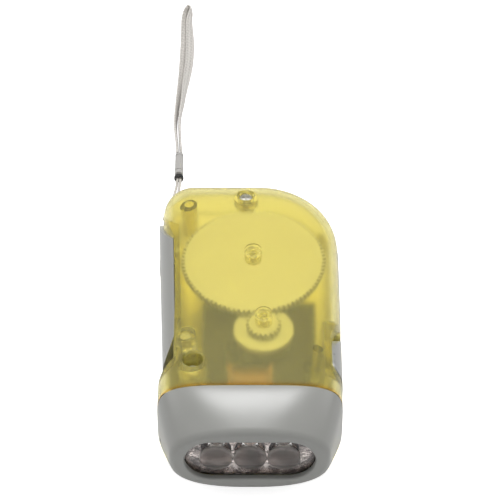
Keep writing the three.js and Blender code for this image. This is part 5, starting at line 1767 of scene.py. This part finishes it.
@dataclass(frozen=True)
class Metal:
    """A bare metal with fine marks, which may carry a painted highlight in a band at one end, or painted
    glints in patches of another colour.
    """

    name: str
    colour: Colour
    roughness: float
    mark_size: float = 0.4
    mark_depth: float = 0.004
    blotch_size: float = 3.0
    # Painted highlight: a lighter colour in a band across Y, standing in for light caught on the metal.
    painted_highlight: Colour | None = None
    highlight_place: float = -32.5
    highlight_width: float = 7.5
    # Painted glints: bright patches of colour set by the grain, standing in for reflections.
    painted_glints: Colour | None = None
    glint_start: float = 0.45
    glint_end: float = 0.58

    def make(self) -> bpy.types.Material:
        """Builds the material."""
        look = Look(self.name, self.colour, self.roughness, metallic=1.0)
        skin = look.group(moulded_grain(), Grain_Size=self.mark_size, Blotch_Size=self.blotch_size)
        if self.painted_highlight:
            # Painted highlight: the band's colour is mixed into the base colour.
            bright = look.group(edge_band(), Place=self.highlight_place * MM, Width=self.highlight_width * MM)
            look.drive("Base Color", look.mixed(bright.outputs["Mask"], self.colour, self.painted_highlight))
        if self.painted_glints:
            # Painted glints: where the grain is high, the colour turns to the bright patch colour.
            where = look.node("MapRange", From_Min=self.glint_start, From_Max=self.glint_end)
            look.feed(skin.outputs["Height"], where.inputs["Value"])
            look.drive("Base Color", look.mixed(where.outputs["Result"], self.colour, self.painted_glints))
        look.spread(skin.outputs["Blotch"], self.roughness * 0.7, self.roughness * 1.35)
        look.relief(skin.outputs["Height"], self.mark_depth)
        return look.material


@dataclass(frozen=True)
class TranslucentCase:
    """The case's yellow plastic: clear enough to see through, with a milky haze and orange thick edges."""

    colour: Colour = (0.95, 0.88, 0.40)
    edge: Colour = (0.85, 0.42, 0.04)
    tint: Colour = (0.94, 0.92, 0.70)
    roughness: float = 0.24
    transmission: float = 0.92
    ior: float = 1.36
    grain_size: float = 1.6
    grain_depth: float = 0.012
    rim_offset: float = 0.4
    rim_width: float = 1.5

    def make(self) -> bpy.types.Material:
        """Builds the material."""
        look = Look("clear_yellow_case", self.colour, self.roughness, ior=self.ior,
                    transmission=self.transmission)
        rim = look.group(edge_band(), Place=(CASE.bezel_back + self.rim_offset) * MM,
                         Width=self.rim_width * MM)
        look.drive("Base Color", look.mixed(rim.outputs["Mask"], self.colour, self.edge))
        skin = look.group(moulded_grain(), Grain_Size=self.grain_size)
        look.relief(skin.outputs["Height"], self.grain_depth)
        look.let_lamps_through(self.tint)
        return look.material


@dataclass(frozen=True)
class Clear:
    """A clear plastic or epoxy, which may carry the row of round lenses, with painted reflections and painted
    shade on them.
    """

    name: str
    colour: Colour = (0.98, 0.98, 0.97)
    roughness: float = 0.02
    ior: float = 1.4
    tint: Colour = (0.97, 0.97, 0.96)
    grain_size: float = 2.5
    grain_depth: float = 0.004
    paints_lens_discs: bool = False
    lens_roughness: float = 0.34

    def make(self) -> bpy.types.Material:
        """Builds the material."""
        look = Look(self.name, self.colour, self.roughness, ior=self.ior, transmission=1.0)
        skin = look.group(moulded_grain(), Grain_Size=self.grain_size)
        look.relief(skin.outputs["Height"], self.grain_depth)
        if self.paints_lens_discs:
            # The lenses' colour is painted reflection and painted shade.
            painted_discs = look.group(painted_lens_discs())
            mask = painted_discs.outputs["Mask"]
            look.drive("Base Color", look.mixed(mask, self.colour, painted_discs.outputs["Colour"]))
            look.spread(mask, self.roughness, self.lens_roughness)
        look.let_lamps_through(self.tint)
        return look.material


@dataclass(frozen=True)
class Braid:
    """Pale woven cord: a square weave on the band's own map, or a laid twist of fibres."""

    name: str
    colour: Colour
    shade: Colour
    woven: bool = True
    roughness: float = 0.75
    sheen: float = 0.25
    fibre_size: float = 0.12
    fibre_depth: float = 0.05
    thread_depth: float = 0.25
    blotch_size: float = 5.0

    def make(self) -> bpy.types.Material:
        """Builds the material."""
        look = Look(self.name, self.colour, self.roughness)
        look.drive("Sheen Weight", self.sheen)
        fibre = look.group(moulded_grain(), Grain_Size=self.fibre_size, Blotch_Size=self.blotch_size)
        under = look.relief(fibre.outputs["Height"], self.fibre_depth)
        mask = fibre.outputs["Blotch"]
        if self.woven:
            threads = look.group(plain_weave(), look.node("UVMap", uv_map="weave").outputs["UV"])
            # In the woven band, the second colour lies in the gaps between threads: painted shade.
            mask = threads.outputs["Gap"]
            look.relief(threads.outputs["Height"], self.thread_depth, under)
        look.drive("Base Color", look.mixed(mask, self.colour, self.shade))
        return look.material


@dataclass(frozen=True)
class CoreSteel:
    """Dark stacked steel sheets."""

    colour: Colour = (0.016, 0.015, 0.012)
    roughness: float = 0.7
    specular: float = 0.25
    grain_size: float = 0.5
    grain_depth: float = 0.01
    blotch_size: float = 4.0
    sheet_depth: float = 0.08

    def make(self) -> bpy.types.Material:
        """Builds the material."""
        look = Look("stacked_steel", self.colour, self.roughness)
        look.drive("Specular IOR Level", self.specular)
        skin = look.group(moulded_grain(), Grain_Size=self.grain_size, Blotch_Size=self.blotch_size)
        look.spread(skin.outputs["Blotch"], self.roughness - 0.1, self.roughness + 0.15)
        under = look.relief(skin.outputs["Height"], self.grain_depth)
        look.relief(look.group(stacked_sheets()).outputs["Height"], self.sheet_depth, under)
        return look.material


class Palette:
    """Every finish of the torch, built once."""

    def __init__(self) -> None:
        """Builds the materials."""
        self.case = TranslucentCase().make()
        self.window = Clear("clear_window_plastic", paints_lens_discs=True).make()
        self.lamp = Clear("clear_lamp_epoxy", colour=(0.97, 0.97, 0.95), ior=1.5).make()
        self.grey = Plastic("satin_grey_plastic", (0.275, 0.278, 0.262), (0.30, 0.30, 0.285), 0.30).make()
        self.nylon = Plastic("white_nylon", (0.44, 0.43, 0.39), (0.39, 0.38, 0.34), 0.4).make()
        self.gear = Plastic("milky_gear_nylon", (0.43, 0.42, 0.40), (0.39, 0.38, 0.36), 0.45).make()
        self.black = Plastic("black_plastic", (0.02, 0.02, 0.022), (0.03, 0.03, 0.03), 0.4).make()
        self.orange = Plastic("orange_bobbin", (0.26, 0.11, 0.03), (0.22, 0.09, 0.02), 0.4).make()
        self.board = Plastic("green_board", (0.04, 0.18, 0.07), (0.06, 0.22, 0.09), 0.35,
                             grain_size=0.6).make()
        self.wrap = Plastic("cell_wrap", (0.10, 0.24, 0.08), (0.13, 0.28, 0.10), 0.25, grain_size=1.0).make()
        self.red = Plastic("red_insulation", (0.45, 0.015, 0.015), (0.40, 0.01, 0.01), 0.4).make()
        self.clamp = Plastic("strap_clamp_plastic", (0.41, 0.40, 0.39), (0.46, 0.45, 0.43), 0.5).make()
        self.rubber = Plastic("black_rubber", (0.015, 0.015, 0.015), (0.025, 0.025, 0.025), 0.6).make()
        self.magnet = Plastic("ferrite", (0.04, 0.04, 0.042), (0.06, 0.06, 0.06), 0.45,
                              grain_depth=0.02).make()
        self.steel = Metal("bright_steel", (0.62, 0.61, 0.58), 0.25).make()
        self.zinc = Metal("zinc_plated_screw", (0.66, 0.65, 0.60), 0.5).make()
        # The mirror's bright patches over its darker colour are painted glints.
        self.mirror = Metal("vacuum_mirror", (0.30, 0.26, 0.25), 0.05, mark_size=3.4, mark_depth=0.9,
                            painted_glints=(0.88, 0.79, 0.76)).make()
        # The lighter pink band at the coil's front is a painted highlight.
        self.copper = Metal("enamelled_copper", (0.36, 0.17, 0.07), 0.32, painted_highlight=(1.0, 0.60, 0.44)).make()
        self.tin = Metal("tinned_strip", (0.66, 0.65, 0.62), 0.35).make()
        self.core = CoreSteel().make()
        self.string = Braid("laid_string", (0.66, 0.63, 0.58), (0.52, 0.49, 0.45), woven=False).make()
        self.band = Braid("braided_band", (0.68, 0.65, 0.61), (0.40, 0.38, 0.35)).make()

    def carried_over(self) -> dict[str, bpy.types.Material]:
        """The finish of each CAD node that is shown as it is."""
        finishes = {
            self.gear: ("drive_gear",),
            self.nylon: ("drive_pinion", "rotor_pinion", "flywheel"),
            self.grey: ("sector_gear",),
            self.steel: ("drive_axle", "rotor_axle", "lever_pin"),
            self.magnet: ("rotor_magnet",),
            self.core: ("stator_core",),
            self.orange: ("coil_bobbin",),
            self.black: ("switch_body", "switch_actuator", "capacitor", "diode_1", "diode_2", "diode_3",
                         "diode_4", "lamp_wire_2", "switch_wire"),
            self.red: ("lamp_wire_1", "battery_wire"),
            self.wrap: ("battery_cell_1", "battery_cell_2", "battery_cell_3"),
            self.tin: ("battery_tab_front", "battery_tab_rear"),
            self.board: ("led_board", "control_board"),
        }
        return {node: finish for finish, nodes in finishes.items() for node in nodes}


@dataclass
class Studio:
    """The floor, the lamps and the camera."""

    target: tuple[float, float, float] = (0.0, 33.2, 17.5)
    distance: float = 807.0
    elevation: float = 46.0
    lens: float = 180.0
    floor_size: float = 4000.0
    floor_drop: float = 0.05
    floor_lift: float = 0.75
    sky_strength: float = 0.48
    lamps: tuple[tuple[str, tuple[float, float, float], tuple[float, float], float], ...] = (
        ("overhead", (0, 55, 545), (200, 150), 1.8),
        ("left_fill", (-600, 50, 380), (300, 400), 0.5),
        ("right_fill", (600, 50, 380), (300, 400), 0.5),
    )

    def floor(self) -> None:
        """A plain pale floor just under the torch."""
        half = self.floor_size / 2 * MM
        corners = along_axis(rectangle((-half, -half), (half, half)), -self.floor_drop * MM, Axis.Z)
        mesh = bpy.data.meshes.new("floor")
        mesh.from_pydata(corners.tolist(), [], [(0, 1, 2, 3)])
        look = Look("pale_floor", (0.92, 0.92, 0.92), 0.9)
        glow = look.node("Emission", Color=(1, 1, 1, 1), Strength=self.floor_lift)
        both = look.node("AddShader")
        look.feed(look.shader.outputs["BSDF"], both.inputs[0])
        look.feed(glow.outputs["Emission"], both.inputs[1])
        look.by_ray("Is Camera Ray", both.outputs["Shader"])
        mesh.materials.append(look.material)
        floor = bpy.data.objects.new("floor", mesh)
        bpy.context.scene.collection.objects.link(floor)

    def lamp(self, name: str, place: Sequence[float], size: Sequence[float], power: float) -> None:
        """A soft rectangular lamp that faces the torch.

        Args:
            name: Its name.
            place: Where it hangs, in millimetres.
            size: Its two sides, in millimetres.
            power: Its power in watts.
        """
        light = bpy.data.lights.new(name, "AREA")
        light.shape = "RECTANGLE"
        light.size, light.size_y = size[0] * MM, size[1] * MM
        light.energy = power
        thing = bpy.data.objects.new(name, light)
        self.aim(thing, place)
        bpy.context.scene.collection.objects.link(thing)

    def aim(self, thing: bpy.types.Object, place: Sequence[float]) -> None:
        """Puts a lamp or the camera at a place, facing the target."""
        here = np.array(place, float)
        thing.location = here * MM
        way = np.array(self.target) - here
        dip = math.atan2(way[2], math.hypot(way[0], way[1]))
        thing.rotation_euler = (math.pi / 2 + dip, 0, math.atan2(way[1], way[0]) - math.pi / 2)

    def build(self) -> None:
        """Sets up the floor, lamps, sky and camera."""
        self.floor()
        world = bpy.data.worlds.new("studio")
        world.use_nodes = True
        sky = world.node_tree.nodes["Background"]
        sky.inputs["Color"].default_value = (1, 1, 1, 1)
        sky.inputs["Strength"].default_value = self.sky_strength
        bpy.context.scene.world = world
        for name, place, size, power in self.lamps:
            self.lamp(name, place, size, power)
        angle = math.radians(self.elevation)
        camera = bpy.data.objects.new("camera", bpy.data.cameras.new("camera"))
        camera.data.lens = self.lens
        camera.data.sensor_width = 36.0
        camera.data.clip_start = 0.01
        camera.data.clip_end = 20.0
        x, y, z = self.target
        self.aim(camera, (x, y - self.distance * math.cos(angle), z + self.distance * math.sin(angle)))
        bpy.context.scene.collection.objects.link(camera)
        bpy.context.scene.camera = camera
        bpy.context.scene.view_settings.view_transform = "Standard"


def main() -> None:
    """Builds the studio, the cords and then each assembly, and dresses the CAD nodes that stay."""
    palette = Palette()
    Studio().build()
    Strap(palette.string, palette.band, palette.clamp, palette.rubber).build()
    switch = Switch()
    Shells(palette.case, switch).build()
    Head(palette.grey, palette.window, palette.mirror, palette.lamp).build()
    Lever(palette.grey, palette.steel).build()
    Dynamo(palette.copper).build()
    Fasteners(palette.zinc).build()
    wear_piece("slide_knob", switch.knob().mesh, palette.grey, "switch", ["switch_knob"], 40)
    wear_piece("trim_strip", switch.strip().mesh, palette.grey, "case", ["side_strip"], 40)
    for node, finish in palette.carried_over().items():
        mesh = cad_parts[node].data
        mesh.materials.clear()
        mesh.materials.append(finish)


if __name__ == "__main__":
    main()
